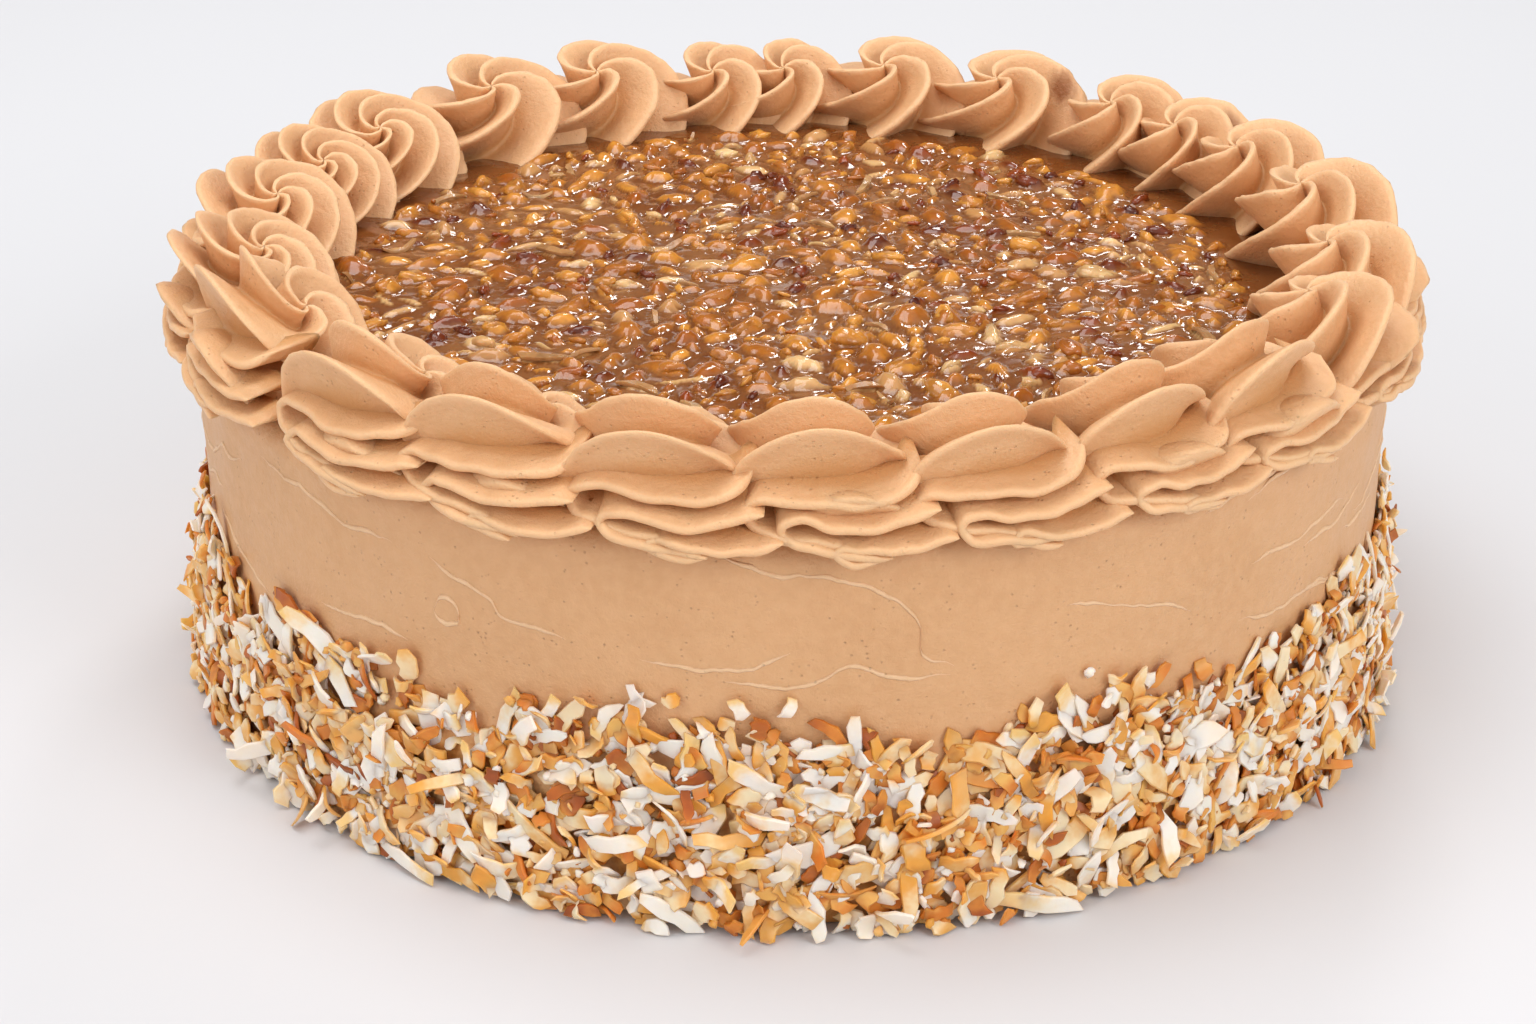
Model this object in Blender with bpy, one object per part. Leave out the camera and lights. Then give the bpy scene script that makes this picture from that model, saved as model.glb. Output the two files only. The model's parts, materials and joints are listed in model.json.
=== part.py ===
"""German chocolate cake: an uncut round cake under buttercream, with a toasted coconut band round its foot,
a nut and coconut custard on top and a ring of piped star swirls. Lengths are in millimetres and become metres
where a mesh is made. +Z is up, and the origin is the centre of the underside. The front of the cake faces -Y."""
import math
import random

import bmesh
import bpy
import numpy as np

# Iced cake
CAKE_RADIUS = 112.0
CAKE_HEIGHT = 70.0
TOP_EDGE_ROUND = 4.5
CAKE_SIDES = 64
# Coconut band
COAT_RADIUS = 113.6
COAT_HEIGHT = 32.0
COAT_WAVE = 3.0
FLAKE_COUNT = 104
FLAKE_LENGTH = (9.0, 18.0)
FLAKE_WIDTH = (2.6, 4.0)
FLAKE_THICKNESS = 1.3
FLAKE_BAND = (4.0, 41.0)
# Nut and coconut custard
CUSTARD_RADIUS = 87.4
CUSTARD_TOP = 72.0
CUSTARD_SIDES = 40
CUSTARD_RINGS = 6
LUMP_COUNT = 46
LUMP_LENGTH = (7.0, 11.0)
LUMP_SINK = 1.6
# Swirls: the azimuth of each leaf tip in degrees, from the front towards +X
TIP_AZIMUTHS = (-85, -69, -48, -33, -18, -4, 10, 25, 39, 58, 73, 91,
                108, 120, 130, 146, 161, 174, 183, 198, 213, 231, 243, 257)
EVEN_STEP = 15.0
TIP_TO_CENTRE = 7.0
RING_RADIUS = 102.8
SWIRL_RIBS = 4
POINTS_PER_RIB = 14
SWIRL_STEPS = 44
VOXEL = 0.8
SWIRL_TRIANGLES = 300
DROOP = 2.6
DROOP_FROM = 110.5
DROOP_TO = 117.0
SEAT_SIDES = 96
# Gaps between pieces that touch
GAP = 0.35
SQUEEZE = 1.65
VALLEY_FILL = 0.6
WELD = 0.003
MM = 0.001

# Stations of a swirl, from its foot to its tip: the heap's centre, its radius, the ribs' height,
# how far the ribs stand up in degrees, and how far they have turned in degrees
STATION = (0.00, 0.10, 0.25, 0.45, 0.63, 0.80, 0.92, 1.00)
ALONG = (-2.0, -2.5, -2.5, -1.5, 0.5, 2.5, 3.5, 3.8)
OUTWARD = (-1.0, 0.0, 0.0, -0.5, -1.5, -2.6, -3.4, -3.8)
LEVEL = (-7.0, -4.5, -1.5, 3.0, 6.5, 9.0, 10.0, 10.4)
HEAP = (7.0, 8.5, 9.0, 8.5, 6.5, 3.8, 1.6, 0.02)
RIB = (4.0, 6.0, 8.0, 9.0, 8.5, 6.5, 4.2, 2.8)
STAND = (0, 4, 15, 35, 52, 68, 82, 90)
TURN = (-60, -50, -30, 20, 85, 145, 195, 230)
FIRST_TURN = 25
CREST_WIDTH = 2.2
VALLEY_POWER = 1.8
RIB_LEAN = 8.0
BROAD = 1.16
# The outer foot is tucked in, and the outer ribs rise in an arch over the swirl's middle
FOOT_TUCK = 0.25
FOOT_TUCK_BELOW = 7.0
ARCH_PEAK = -1.0
ARCH_HALF = 14.0
ARCH_FROM = 2.0
ARCH_EASE = 7.0
OUTER_FROM = -4.0
OUTER_RAISE = 6.0
OUTER_ARCH = 9.0
INNER_RAISE = 0.6
INNER_ARCH = 1.2
SOFT_TOP = 13.0
SOFT_SHARE = 0.4


def material(name, colour, roughness):
    made = bpy.data.materials.new(name)
    made.use_nodes = True
    shader = made.node_tree.nodes["Principled BSDF"]
    shader.inputs["Base Color"].default_value = (*colour, 1.0)
    shader.inputs["Roughness"].default_value = roughness
    shader.inputs["Metallic"].default_value = 0.0
    return made


def add_mesh(name, points, faces, collection=None):
    mesh = bpy.data.meshes.new(name)
    mesh.from_pydata([tuple(MM * c for c in p) for p in points], [], faces)
    mesh.update()
    made = bpy.data.objects.new(name, mesh)
    (collection or bpy.context.scene.collection).objects.link(made)
    return made


def smooth(made, angle=40):
    made.data.shade_smooth()
    made.data.set_sharp_from_angle(angle=math.radians(angle))


def apply_modifiers(made):
    """Replaces an object's mesh by what its modifiers make of it."""
    bpy.context.view_layer.update()
    evaluated = made.evaluated_get(bpy.context.evaluated_depsgraph_get())
    mesh = bpy.data.meshes.new_from_object(evaluated)
    made.modifiers.clear()
    made.data = mesh


def revolve(name, profile, sides, collection=None):
    """Turns a profile of (radius, height) pairs, from the axis at the bottom to the axis at the top."""
    points = [(0.0, 0.0, profile[0][1])]
    rings = profile[1:-1]
    for radius, height in rings:
        for k in range(sides):
            angle = 2 * math.pi * k / sides
            points.append((radius * math.cos(angle), radius * math.sin(angle), height))
    points.append((0.0, 0.0, profile[-1][1]))
    faces = []
    for k in range(sides):
        after = (k + 1) % sides
        faces.append((0, 1 + after, 1 + k))
        for row in range(len(rings) - 1):
            low, high = 1 + row * sides, 1 + (row + 1) * sides
            faces.append((low + k, low + after, high + after, high + k))
        last = 1 + (len(rings) - 1) * sides
        faces.append((last + k, last + after, len(points) - 1))
    return add_mesh(name, points, faces, collection)


def rounded_top(radius, height, rounding, steps=4):
    """The outer corner at the top of the side, as (radius, height) pairs going up."""
    corner = []
    for k in range(steps + 1):
        angle = math.pi / 2 * k / steps
        corner.append((radius - rounding * (1 - math.cos(angle)), height - rounding * (1 - math.sin(angle))))
    return corner


def keep_largest(made, weld=0.0):
    """Removes loose scraps, so that one closed body is left, and joins points nearer than the weld."""
    mesh = bmesh.new()
    mesh.from_mesh(made.data)
    if weld:
        bmesh.ops.remove_doubles(mesh, verts=mesh.verts, dist=weld * MM)
        bmesh.ops.dissolve_degenerate(mesh, edges=mesh.edges, dist=weld * MM)
    left = set(mesh.verts)
    groups = []
    while left:
        stack = [left.pop()]
        group = []
        while stack:
            vert = stack.pop()
            group.append(vert)
            for edge in vert.link_edges:
                other = edge.other_vert(vert)
                if other in left:
                    left.discard(other)
                    stack.append(other)
        groups.append(group)
    groups.sort(key=len)
    for group in groups[:-1]:
        bmesh.ops.delete(mesh, geom=group, context="VERTS")
    bmesh.ops.triangulate(mesh, faces=mesh.faces)
    mesh.to_mesh(made.data)
    mesh.free()


def fuse(core, collection, solver="EXACT"):
    """Joins a collection's closed solids to the core with one union, then removes them."""
    union = core.modifiers.new("Fused pieces", "BOOLEAN")
    union.operation = "UNION"
    union.solver = solver
    union.operand_type = "COLLECTION"
    union.collection = collection
    apply_modifiers(core)
    for piece in list(collection.objects):
        bpy.data.objects.remove(piece)
    bpy.data.collections.remove(collection)
    keep_largest(core, WELD)


def is_closed(made):
    """True where every edge has exactly two faces."""
    mesh = bmesh.new()
    mesh.from_mesh(made.data)
    closed = all(len(edge.link_faces) == 2 for edge in mesh.edges)
    mesh.free()
    return closed


def cut(made, cutter):
    """Takes the cutter's volume away, with the other solver where the first leaves an open edge."""
    before = made.data
    for solver in ("EXACT", "MANIFOLD"):
        made.data = before
        difference = made.modifiers.new("Cut", "BOOLEAN")
        difference.operation = "DIFFERENCE"
        difference.solver = solver
        difference.object = cutter
        apply_modifiers(made)
        keep_largest(made)
        if is_closed(made):
            return


def flake(name, length, width, thickness, bend, frame, centre, collection):
    """A bent strip of coconut. frame holds its long, cross and outward directions."""
    long_way, cross_way, out_way = frame
    points = []
    for k, along in enumerate((-0.5, 0.0, 0.5)):
        narrow = 0.62 if k != 1 else 1.0
        for side, face in ((-0.5, -0.5), (0.5, -0.5), (0.5, 0.5), (-0.5, 0.5)):
            spot = centre + long_way * (along * length) + cross_way * (side * width * narrow)
            spot = spot + out_way * (face * thickness * narrow + bend * (0.25 - along * along))
            points.append(tuple(spot))
    faces = [(3, 2, 1, 0), (8, 9, 10, 11)]
    for row in (0, 4):
        for k in range(4):
            after = (k + 1) % 4
            faces.append((row + k, row + after, row + 4 + after, row + 4 + k))
    return add_mesh(name, points, faces, collection)


def coat_wave(azimuth):
    """How far the coconut coat's edge stands above its mean height."""
    return COAT_WAVE * (0.6 * math.sin(3 * azimuth + 0.8) + 0.4 * math.sin(7 * azimuth + 2.0))


def build_cake():
    """The frosted cake, solid through, with the coconut that sticks to its foot."""
    corner = rounded_top(CAKE_RADIUS, CAKE_HEIGHT, TOP_EDGE_ROUND)
    coat = [(COAT_RADIUS, 0.0), (COAT_RADIUS, COAT_HEIGHT - 4.0), (CAKE_RADIUS, COAT_HEIGHT + 3.0)]
    cake = revolve("cake", [(0, 0)] + coat + corner + [(0, CAKE_HEIGHT)], CAKE_SIDES)
    for vert in cake.data.vertices:
        if 0 < vert.co.z < (COAT_HEIGHT + 4.0) * MM:
            vert.co.z += coat_wave(math.atan2(vert.co.y, vert.co.x)) * MM
    draw = random.Random(11)
    flakes = bpy.data.collections.new("flakes")
    bpy.context.scene.collection.children.link(flakes)
    golden = math.pi * (3 - math.sqrt(5))
    up = np.array([0.0, 0.0, 1.0])
    for k in range(FLAKE_COUNT):
        share = (k + 0.5) / FLAKE_COUNT
        height = FLAKE_BAND[0] + (FLAKE_BAND[1] - FLAKE_BAND[0]) * share
        azimuth = golden * k + draw.uniform(-0.05, 0.05)
        out = np.array([math.cos(azimuth), math.sin(azimuth), 0.0])
        round_way = np.cross(up, out)
        length = draw.uniform(*FLAKE_LENGTH)
        width = draw.uniform(*FLAKE_WIDTH)
        slant = draw.uniform(0, math.pi)
        reach = length / 2 * abs(math.sin(slant)) + width / 2
        height = max(height, reach + 1.2)
        long_way = round_way * math.cos(slant) + up * math.sin(slant)
        lift = math.radians(draw.uniform(4, 20))
        long_way = long_way * math.cos(lift) + out * math.sin(lift)
        cross_way = np.cross(out, long_way)
        cross_way /= np.linalg.norm(cross_way)
        out_way = np.cross(long_way, cross_way)
        surface = COAT_RADIUS if height < COAT_HEIGHT - 2 + coat_wave(azimuth) else CAKE_RADIUS
        spot = out * (surface + 0.5) + up * height
        frame = (long_way, cross_way, out_way)
        flake("flake_%03d" % k, length, width, FLAKE_THICKNESS, draw.uniform(0.2, 1.2), frame, spot, flakes)
    fuse(cake, flakes)
    smooth(cake, 35)
    cake.data.materials.append(material("buttercream_side", (0.60, 0.37, 0.21), 0.55))
    return cake


def build_topping():
    """The custard disc with its chopped nuts, which fills the ring of swirls."""
    draw = random.Random(23)
    bottom = CAKE_HEIGHT + GAP
    points = [(0.0, 0.0, bottom)]
    faces = []
    ring = [(CUSTARD_RADIUS, bottom), (CUSTARD_RADIUS, CUSTARD_TOP - 0.7)]
    for k in range(1, CUSTARD_RINGS + 1):
        share = 1 - k / (CUSTARD_RINGS + 0.5)
        ring.append((CUSTARD_RADIUS * share * 0.995, CUSTARD_TOP))
    for row, (radius, height) in enumerate(ring):
        for k in range(CUSTARD_SIDES):
            angle = 2 * math.pi * k / CUSTARD_SIDES
            swell = 0.35 * math.sin(5 * angle + row * 1.7) + draw.uniform(-0.25, 0.25) if row > 1 else 0.0
            points.append((radius * math.cos(angle), radius * math.sin(angle), height + swell))
    points.append((0.0, 0.0, CUSTARD_TOP))
    for k in range(CUSTARD_SIDES):
        after = (k + 1) % CUSTARD_SIDES
        faces.append((0, 1 + after, 1 + k))
        for row in range(len(ring) - 1):
            low, high = 1 + row * CUSTARD_SIDES, 1 + (row + 1) * CUSTARD_SIDES
            faces.append((low + k, low + after, high + after, high + k))
        last = 1 + (len(ring) - 1) * CUSTARD_SIDES
        faces.append((last + k, last + after, len(points) - 1))
    topping = add_mesh("topping", points, faces)
    lumps = bpy.data.collections.new("lumps")
    bpy.context.scene.collection.children.link(lumps)
    golden = math.pi * (3 - math.sqrt(5))
    for k in range(LUMP_COUNT):
        distance = (CUSTARD_RADIUS - 6.0) * math.sqrt((k + 0.5) / LUMP_COUNT)
        angle = golden * k
        length = draw.uniform(*LUMP_LENGTH)
        size = (length / 2, length * draw.uniform(0.28, 0.42), draw.uniform(1.7, 2.4))
        mesh = bmesh.new()
        bmesh.ops.create_icosphere(mesh, subdivisions=1, radius=1.0)
        turn = draw.uniform(0, math.pi)
        spot = (distance * math.cos(angle), distance * math.sin(angle), CUSTARD_TOP + 0.4)
        shape = []
        for vert in mesh.verts:
            x, y, z = (vert.co.x * size[0], vert.co.y * size[1], max(-LUMP_SINK, vert.co.z * size[2]))
            x *= draw.uniform(0.85, 1.1)
            y *= draw.uniform(0.85, 1.1)
            shape.append((spot[0] + x * math.cos(turn) - y * math.sin(turn),
                          spot[1] + x * math.sin(turn) + y * math.cos(turn), spot[2] + z))
        mesh.verts.index_update()
        facets = [tuple(v.index for v in face.verts) for face in mesh.faces]
        mesh.free()
        add_mesh("lump_%02d" % k, shape, facets, lumps)
    fuse(topping, lumps)
    smooth(topping, 50)
    topping.data.materials.append(material("nut_custard", (0.34, 0.16, 0.06), 0.2))
    return topping


def held_average(values, width):
    """A moving average that keeps the end values."""
    half = width // 2
    padded = np.concatenate([np.full(half, values[0]), values, np.full(half, values[-1])])
    return np.convolve(padded, np.ones(width) / width, mode="valid")


def stations(values, steps):
    """Values between the stations of a swirl, eased so that no crease shows."""
    share = np.linspace(0, 1, steps)
    return held_average(np.interp(share, STATION, values), max(3, steps // 10 * 2 + 1))


def swirl_points(per_rib, steps, variation, fill=0.0, swell=0.0):
    """Rows of points from the foot of a swirl to its tip. x runs along the ring of swirls, y outward and
    z up. Rings of a leaning heap shrink towards the tip, and each rib stands off them, outward at the
    foot and upward near the tip, while it turns round the heap. fill raises the valleys and swell the
    whole."""
    centre = np.stack([stations(ALONG, steps), stations(OUTWARD, steps), stations(LEVEL, steps)], 1)
    lean_in = math.radians(22 + variation["lean_in"])
    lean_along = math.radians(24 + variation["lean_along"])
    axis = np.array([math.sin(lean_along), -math.sin(lean_in), 1.0])
    axis /= np.linalg.norm(axis)
    along = np.array([1.0, 0.0, 0.0]) - axis[0] * axis
    along /= np.linalg.norm(along)
    across = np.cross(axis, along)
    heap = stations(HEAP, steps)
    heap[-1] = HEAP[-1]
    heap = heap + swell
    rib = stations(RIB, steps)
    turn = np.radians(stations(TURN, steps)) * variation["turn"]
    stand = np.radians(stations(STAND, steps))[:, None, None]
    count = np.arange(SWIRL_RIBS * per_rib)
    share = (count % per_rib) / per_rib - 0.5
    share = np.sign(share) * (2 * np.abs(share)) ** 1.35 / 2
    angle = (count // per_rib + share) * 2 * math.pi / SWIRL_RIBS
    crest = CREST_WIDTH * SWIRL_RIBS / (2 * math.pi * (heap + rib))
    crest = np.clip(crest, 0.02, 0.55)[:, None]
    fall = np.clip((np.abs(2 * share)[None, :] - crest) / (1 - crest), 0, 1)
    height = fill + (1 - fill) * (1 - fall) ** VALLEY_POWER
    angle = angle[None, :] + turn[:, None] + math.radians(variation["phase"])
    angle = angle + math.radians(RIB_LEAN) * height
    out = -BROAD * np.cos(angle)[..., None] * along + np.sin(angle)[..., None] * across
    away = np.cos(stand) * out + np.sin(stand) * axis
    points = centre[:, None, :] + heap[:, None, None] * out + (rib[:, None] * height)[..., None] * away
    points = points + (swell * np.sin(stand)) * axis
    scale = np.array([variation["length"], variation["depth"], variation["height"]])
    return points * scale


def swirl_variation(index):
    """How one hand-piped swirl differs from the next, from its place in the ring and a seeded draw."""
    before = TIP_AZIMUTHS[index - 1] - (360 if index == 0 else 0)
    after = TIP_AZIMUTHS[(index + 1) % len(TIP_AZIMUTHS)] + (360 if index == len(TIP_AZIMUTHS) - 1 else 0)
    room = min(1.16, max(0.78, (after - before) / 2 / EVEN_STEP))
    draw = random.Random(100 + index)
    return {
        "length": room * draw.uniform(0.98, 1.04),
        "depth": (0.6 + 0.4 * room) * draw.uniform(0.97, 1.03),
        "height": (0.5 + 0.5 * room) * draw.uniform(0.95, 1.05),
        "lean_in": draw.uniform(-3, 3),
        "lean_along": draw.uniform(-5, 3),
        "turn": draw.uniform(0.92, 1.08),
        "phase": FIRST_TURN + draw.uniform(-10, 10),
    }


def arched(rows):
    """The swirl with its outer foot tucked in and its outer ribs arched over its middle."""
    x, y, z = rows[..., 0], rows[..., 1], rows[..., 2]
    low = np.clip((FOOT_TUCK_BELOW - z) / 5, 0, 1)
    y = np.where(y > 0, y * (1 - FOOT_TUCK * low), y)
    away = np.clip(np.abs(x - ARCH_PEAK) / ARCH_HALF, 0, 1.3)
    outer = np.clip((y - OUTER_FROM) / ARCH_EASE, 0, 1)
    outer = outer * outer * (3 - 2 * outer)
    outside = OUTER_RAISE - OUTER_ARCH * away ** 2
    inside = INNER_RAISE - INNER_ARCH * away ** 2
    z = z + np.clip((z - ARCH_FROM) / ARCH_EASE, 0, 1) * (outer * outside + (1 - outer) * inside)
    z = np.where(z > SOFT_TOP, SOFT_TOP + (z - SOFT_TOP) * SOFT_SHARE, z)
    return np.stack([x, y, z], -1)


def place_on_ring(points, azimuth):
    """Moves points from a swirl's own frame to its place on the cake, in millimetres."""
    sine, cosine = math.sin(azimuth), math.cos(azimuth)
    out = np.array([sine, -cosine, 0.0])
    along = np.array([cosine, sine, 0.0])
    up = np.array([0.0, 0.0, 1.0])
    spot = out * RING_RADIUS + up * CAKE_HEIGHT
    placed = spot + points[:, :1] * along + points[:, 1:2] * out + points[:, 2:] * up
    distance = np.hypot(placed[:, 0], placed[:, 1])
    hang = np.clip((distance - DROOP_FROM) / (DROOP_TO - DROOP_FROM), 0, 1) * DROOP
    placed[:, 2] = np.maximum(placed[:, 2], CAKE_HEIGHT - 0.6 - hang)
    return placed


def build_seat(gap):
    """The space that the cake and its custard take up under the swirls, with a gap all round."""
    corner = rounded_top(CAKE_RADIUS + gap, CAKE_HEIGHT + gap, TOP_EDGE_ROUND)
    inner = CUSTARD_RADIUS + gap
    floor, top = CAKE_HEIGHT / 2, CAKE_HEIGHT + 6.0
    profile = [(0, floor), (CAKE_RADIUS + gap, floor)] + corner
    profile = profile + [(inner, CAKE_HEIGHT + gap), (inner, top), (0, top)]
    return revolve("seat", profile, SEAT_SIDES)


def apply_remesh(made):
    """Gives an object one closed skin of small even facets, a little finer where that size pinches it."""
    before = made.data
    for share in (1.0, 0.97, 1.03, 0.94, 0.91, 0.88, 0.85):
        made.data = before
        remesh = made.modifiers.new("One skin", "REMESH")
        remesh.mode = "VOXEL"
        remesh.voxel_size = share * VOXEL * MM
        apply_modifiers(made)
        if is_closed(made):
            return


def swirl_solid(name, index, fill=0.0, swell=0.0):
    """One swirl as a closed solid with small facets."""
    rows = arched(swirl_points(POINTS_PER_RIB, SWIRL_STEPS, swirl_variation(index), fill, swell))
    steps, around = rows.shape[:2]
    points = place_on_ring(rows.reshape(-1, 3), math.radians(TIP_AZIMUTHS[index] + TIP_TO_CENTRE))
    faces = [tuple(reversed(range(around))), tuple(range((steps - 1) * around, steps * around))]
    for row in range(steps - 1):
        for k in range(around):
            here, after = row * around + k, row * around + (k + 1) % around
            faces.append((here, after, after + around, here + around))
    made = add_mesh(name, points, faces)
    apply_remesh(made)
    return made


def reduce_facets(made):
    """Leaves about SWIRL_TRIANGLES facets, a few more or less where that number pinches the skin."""
    fine = made.data
    for share in (1.0, 1.04, 0.97, 1.08, 0.94, 1.12):
        made.data = fine
        reduce = made.modifiers.new("Fewer facets", "DECIMATE")
        reduce.ratio = share * SWIRL_TRIANGLES / len(fine.polygons)
        apply_modifiers(made)
        if is_closed(made):
            return


def build_swirls():
    """The ring of swirls. Each one lies over the end of the one before it."""
    seat = build_seat(GAP + 0.3)
    count = len(TIP_AZIMUTHS)
    cutters = [swirl_solid("room_%02d" % index, index, VALLEY_FILL, SQUEEZE) for index in range(count)]
    swirls = []
    for index in range(count):
        made = swirl_solid("swirl_%02d" % (index + 1), index)
        cut(made, seat)
        cut(made, cutters[(index + 1) % count])
        apply_remesh(made)
        keep_largest(made)
        reduce_facets(made)
        smooth(made, 50)
        made.data.materials.append(material(made.name + "_buttercream", (0.62, 0.38, 0.21), 0.5))
        swirls.append(made)
    for helper in cutters + [seat]:
        bpy.data.objects.remove(helper)
    return swirls


def main():
    for old in list(bpy.data.objects):
        bpy.data.objects.remove(old)
    build_cake()
    build_topping()
    build_swirls()


main()
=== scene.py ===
"""Layer cake with a nut custard top, a piped border and a coat of coconut.

Lengths are in millimetres until a mesh is made.
"""

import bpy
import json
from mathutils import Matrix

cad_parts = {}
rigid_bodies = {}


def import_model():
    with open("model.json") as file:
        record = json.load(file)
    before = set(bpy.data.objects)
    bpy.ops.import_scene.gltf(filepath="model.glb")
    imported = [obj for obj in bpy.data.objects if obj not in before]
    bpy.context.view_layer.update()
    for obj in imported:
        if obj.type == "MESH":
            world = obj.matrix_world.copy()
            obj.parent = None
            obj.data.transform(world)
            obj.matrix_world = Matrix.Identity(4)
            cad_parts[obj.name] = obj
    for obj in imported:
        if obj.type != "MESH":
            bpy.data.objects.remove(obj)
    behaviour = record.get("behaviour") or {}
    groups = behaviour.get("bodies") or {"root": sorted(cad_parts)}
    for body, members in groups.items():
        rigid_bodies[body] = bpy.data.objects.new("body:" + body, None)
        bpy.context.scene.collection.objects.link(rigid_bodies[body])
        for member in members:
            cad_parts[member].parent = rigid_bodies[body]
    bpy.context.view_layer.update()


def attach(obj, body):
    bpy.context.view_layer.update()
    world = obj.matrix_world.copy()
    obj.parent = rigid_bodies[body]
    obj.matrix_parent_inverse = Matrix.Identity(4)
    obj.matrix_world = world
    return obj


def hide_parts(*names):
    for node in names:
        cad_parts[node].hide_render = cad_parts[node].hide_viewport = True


bl_info = {
    "name": "Layer cake builder",
    "version": (1, 0, 0),
    "blender": (4, 5, 0),
    "location": "View3D > Sidebar > Cake",
    "description": "Ices, fills, pipes and coats a round layer cake round its packed frame",
    "category": "Object",
}

import json
import math
import random

import bmesh
import bpy
import numpy as np
from mathutils import Matrix, Vector

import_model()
BODY = "root"
MM = 0.001

# The iced cake
CAKE_RADIUS = 112.0
CAKE_HEIGHT = 70.0
TOP_EDGE_ROUND = 4.5
COAT_RADIUS = 113.4
COAT_HEIGHT = 32.0
COAT_WAVE = 3.0
SIDE_COLUMNS = 900
SIDE_STEP = 0.9

# The custard
CUSTARD_BOTTOM = 70.35
CUSTARD_RADIUS = 87.4
CUSTARD_SPREAD = 97.0
CUSTARD_TOP = 72.0
CUSTARD_CELLS = 300

# Lips that the palette knife left on the side: (azimuth, height) along each one
KNIFE_LIPS = (
    ((-6.4, 67.5), (-1.9, 64.6), (3.1, 63.9), (7.4, 61.0), (10.4, 55.2), (10.7, 50.0), (13.5, 47.0)),
    ((-12.4, 47.9), (-7.1, 46.8), (-3.1, 47.9), (0.0, 50.4)),
    ((-5.5, 45.0), (3.1, 46.4), (3.8, 47.5), (9.8, 45.4), (13.2, 45.7)),
    ((-31.5, 59.0), (-29.4, 56.6), (-27.7, 55.6), (-25.4, 53.5), (-24.8, 51.7), (-21.5, 50.7), (-18.7, 49.5)),
    ((-31.2, 49.6), (-30.6, 51.6), (-29.5, 51.8), (-28.7, 50.4), (-28.8, 48.2), (-30.0, 47.4), (-31.0, 48.4),
     (-31.3, 49.8)),
)
MORE_LIPS = 34
LIP_WIDTH = 1.0
LIP_HEIGHT = 0.30

# The piped border
RING_RADIUS = 102.8
TIP_AZIMUTHS = (-85, -69, -48, -33, -18, -4, 10, 25, 39, 58, 73, 91,
                108, 120, 130, 146, 161, 174, 183, 198, 213, 231, 243, 257)
TIP_TO_CENTRE = 7
EVEN_STEP = 15
POINTS_ROUND = 80

# The forms that the swirls have round the ring, by the azimuth of their tips
FRONT_FROM = -80
FRONT_TO = 50
BACK_TO = 220
FRONT_STYLE = {
    "ribs": 4, "crowd": 0.0, "twist": 1.0, "lean_in": 22, "lean_along": 24, "shift_along": 1.0,
    "shift_out": 1.0, "raise": 7.0, "arch": 9.0, "soft_top": 13.0, "soft_share": 0.7,
    "fold_height": 1.0, "fold_reach": 1.0, "fold_lift": 1.0}
BACK_STYLE = {
    "ribs": 5, "crowd": 0.0, "twist": 0.68, "lean_in": 22, "lean_along": 4, "shift_along": 0.3,
    "shift_out": 0.8, "raise": 1.0, "arch": 2.5, "soft_top": 15.0, "soft_share": 0.75,
    "fold_height": 0.6, "fold_reach": 0.6, "fold_lift": -1.0}
LEFT_STYLE = {
    "ribs": 5, "crowd": 0.15, "twist": 1.15, "lean_in": 20, "lean_along": 11, "shift_along": 0.5,
    "shift_out": 0.8, "raise": 2.0, "arch": 4.0, "soft_top": 14.5, "soft_share": 0.75,
    "fold_height": 0.85, "fold_reach": 0.85, "fold_lift": -1.0}

# A swirl from its foot to its tip: the path of its middle, its ribs, how they stand and how they turn
SWIRL_STEPS = 80
STATION = (0.00, 0.10, 0.25, 0.45, 0.63, 0.80, 0.92, 1.00)
ALONG = (-2.0, -2.5, -2.5, -1.5, 0.5, 2.5, 3.5, 3.8)
OUTWARD = (-1.0, 0.0, 0.0, -0.5, -1.5, -2.6, -3.4, -3.8)
LEVEL = (-7.0, -4.5, -1.5, 3.0, 6.5, 9.0, 10.0, 10.4)
HEAP = (7.0, 8.5, 9.0, 8.5, 6.5, 3.8, 1.6, 0.02)
RIB = (4.0, 6.0, 8.0, 9.5, 9.5, 7.0, 4.2, 2.8)
STAND = (0, 4, 15, 35, 52, 68, 82, 90)
TURN = (-60, -50, -30, 20, 85, 145, 195, 230)
FIRST_TURN = 38
CREST_WIDTH = 2.2
VALLEY_POWER = 1.8
RIB_LEAN = 8.0
BROAD = 1.16
DROOP = 2.6
DROOP_FROM = 110.5
DROOP_TO = 117.0
FOOT_TUCK = 0.28
FOOT_TUCK_BELOW = 7.0
ARCH_PEAK = -1.0
ARCH_HALF = 14.0
ARCH_FROM = 2.0
INNER_RAISE = 0.6
INNER_ARCH = 1.2

# The folds that hang at the outer foot of each swirl: along the ring, outward and up from the cake's top
FOLD_STEPS = 70
FOLD_BEND_RADIUS = 110.8
MIDDLE_FOLD = {
    "crest": ((15.0, 6.5, 11.5), (13.2, 9.8, 9.4), (6, 12.4, 7.8), (-2, 12.6, 7.6), (-8, 11.6, 8.0),
              (-12, 10.8, 7.4), (-13.6, 10.4, 5.8), (-12.2, 11.2, 3.6), (-8, 12.8, 2.6), (-2, 13.8, 1.9),
              (4, 14.2, 1.2)),
    "reach": 9.0, "lift": 1.2, "thick": 1.5}
LOWER_FOLD = {
    "crest": ((17, 12.6, 6.0), (12, 13.6, 4.8), (6, 14.4, 4.2), (0, 14.2, 4.4), (-4.5, 13.6, 5.0),
              (-7.0, 13.0, 4.4), (-7.8, 13.0, 2.9), (-6.2, 14.0, 1.5), (-2, 14.8, 0.8), (4, 15.0, 0.1),
              (9, 14.6, -0.2)),
    "reach": 8.0, "lift": 1.2, "thick": 1.4}
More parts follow.
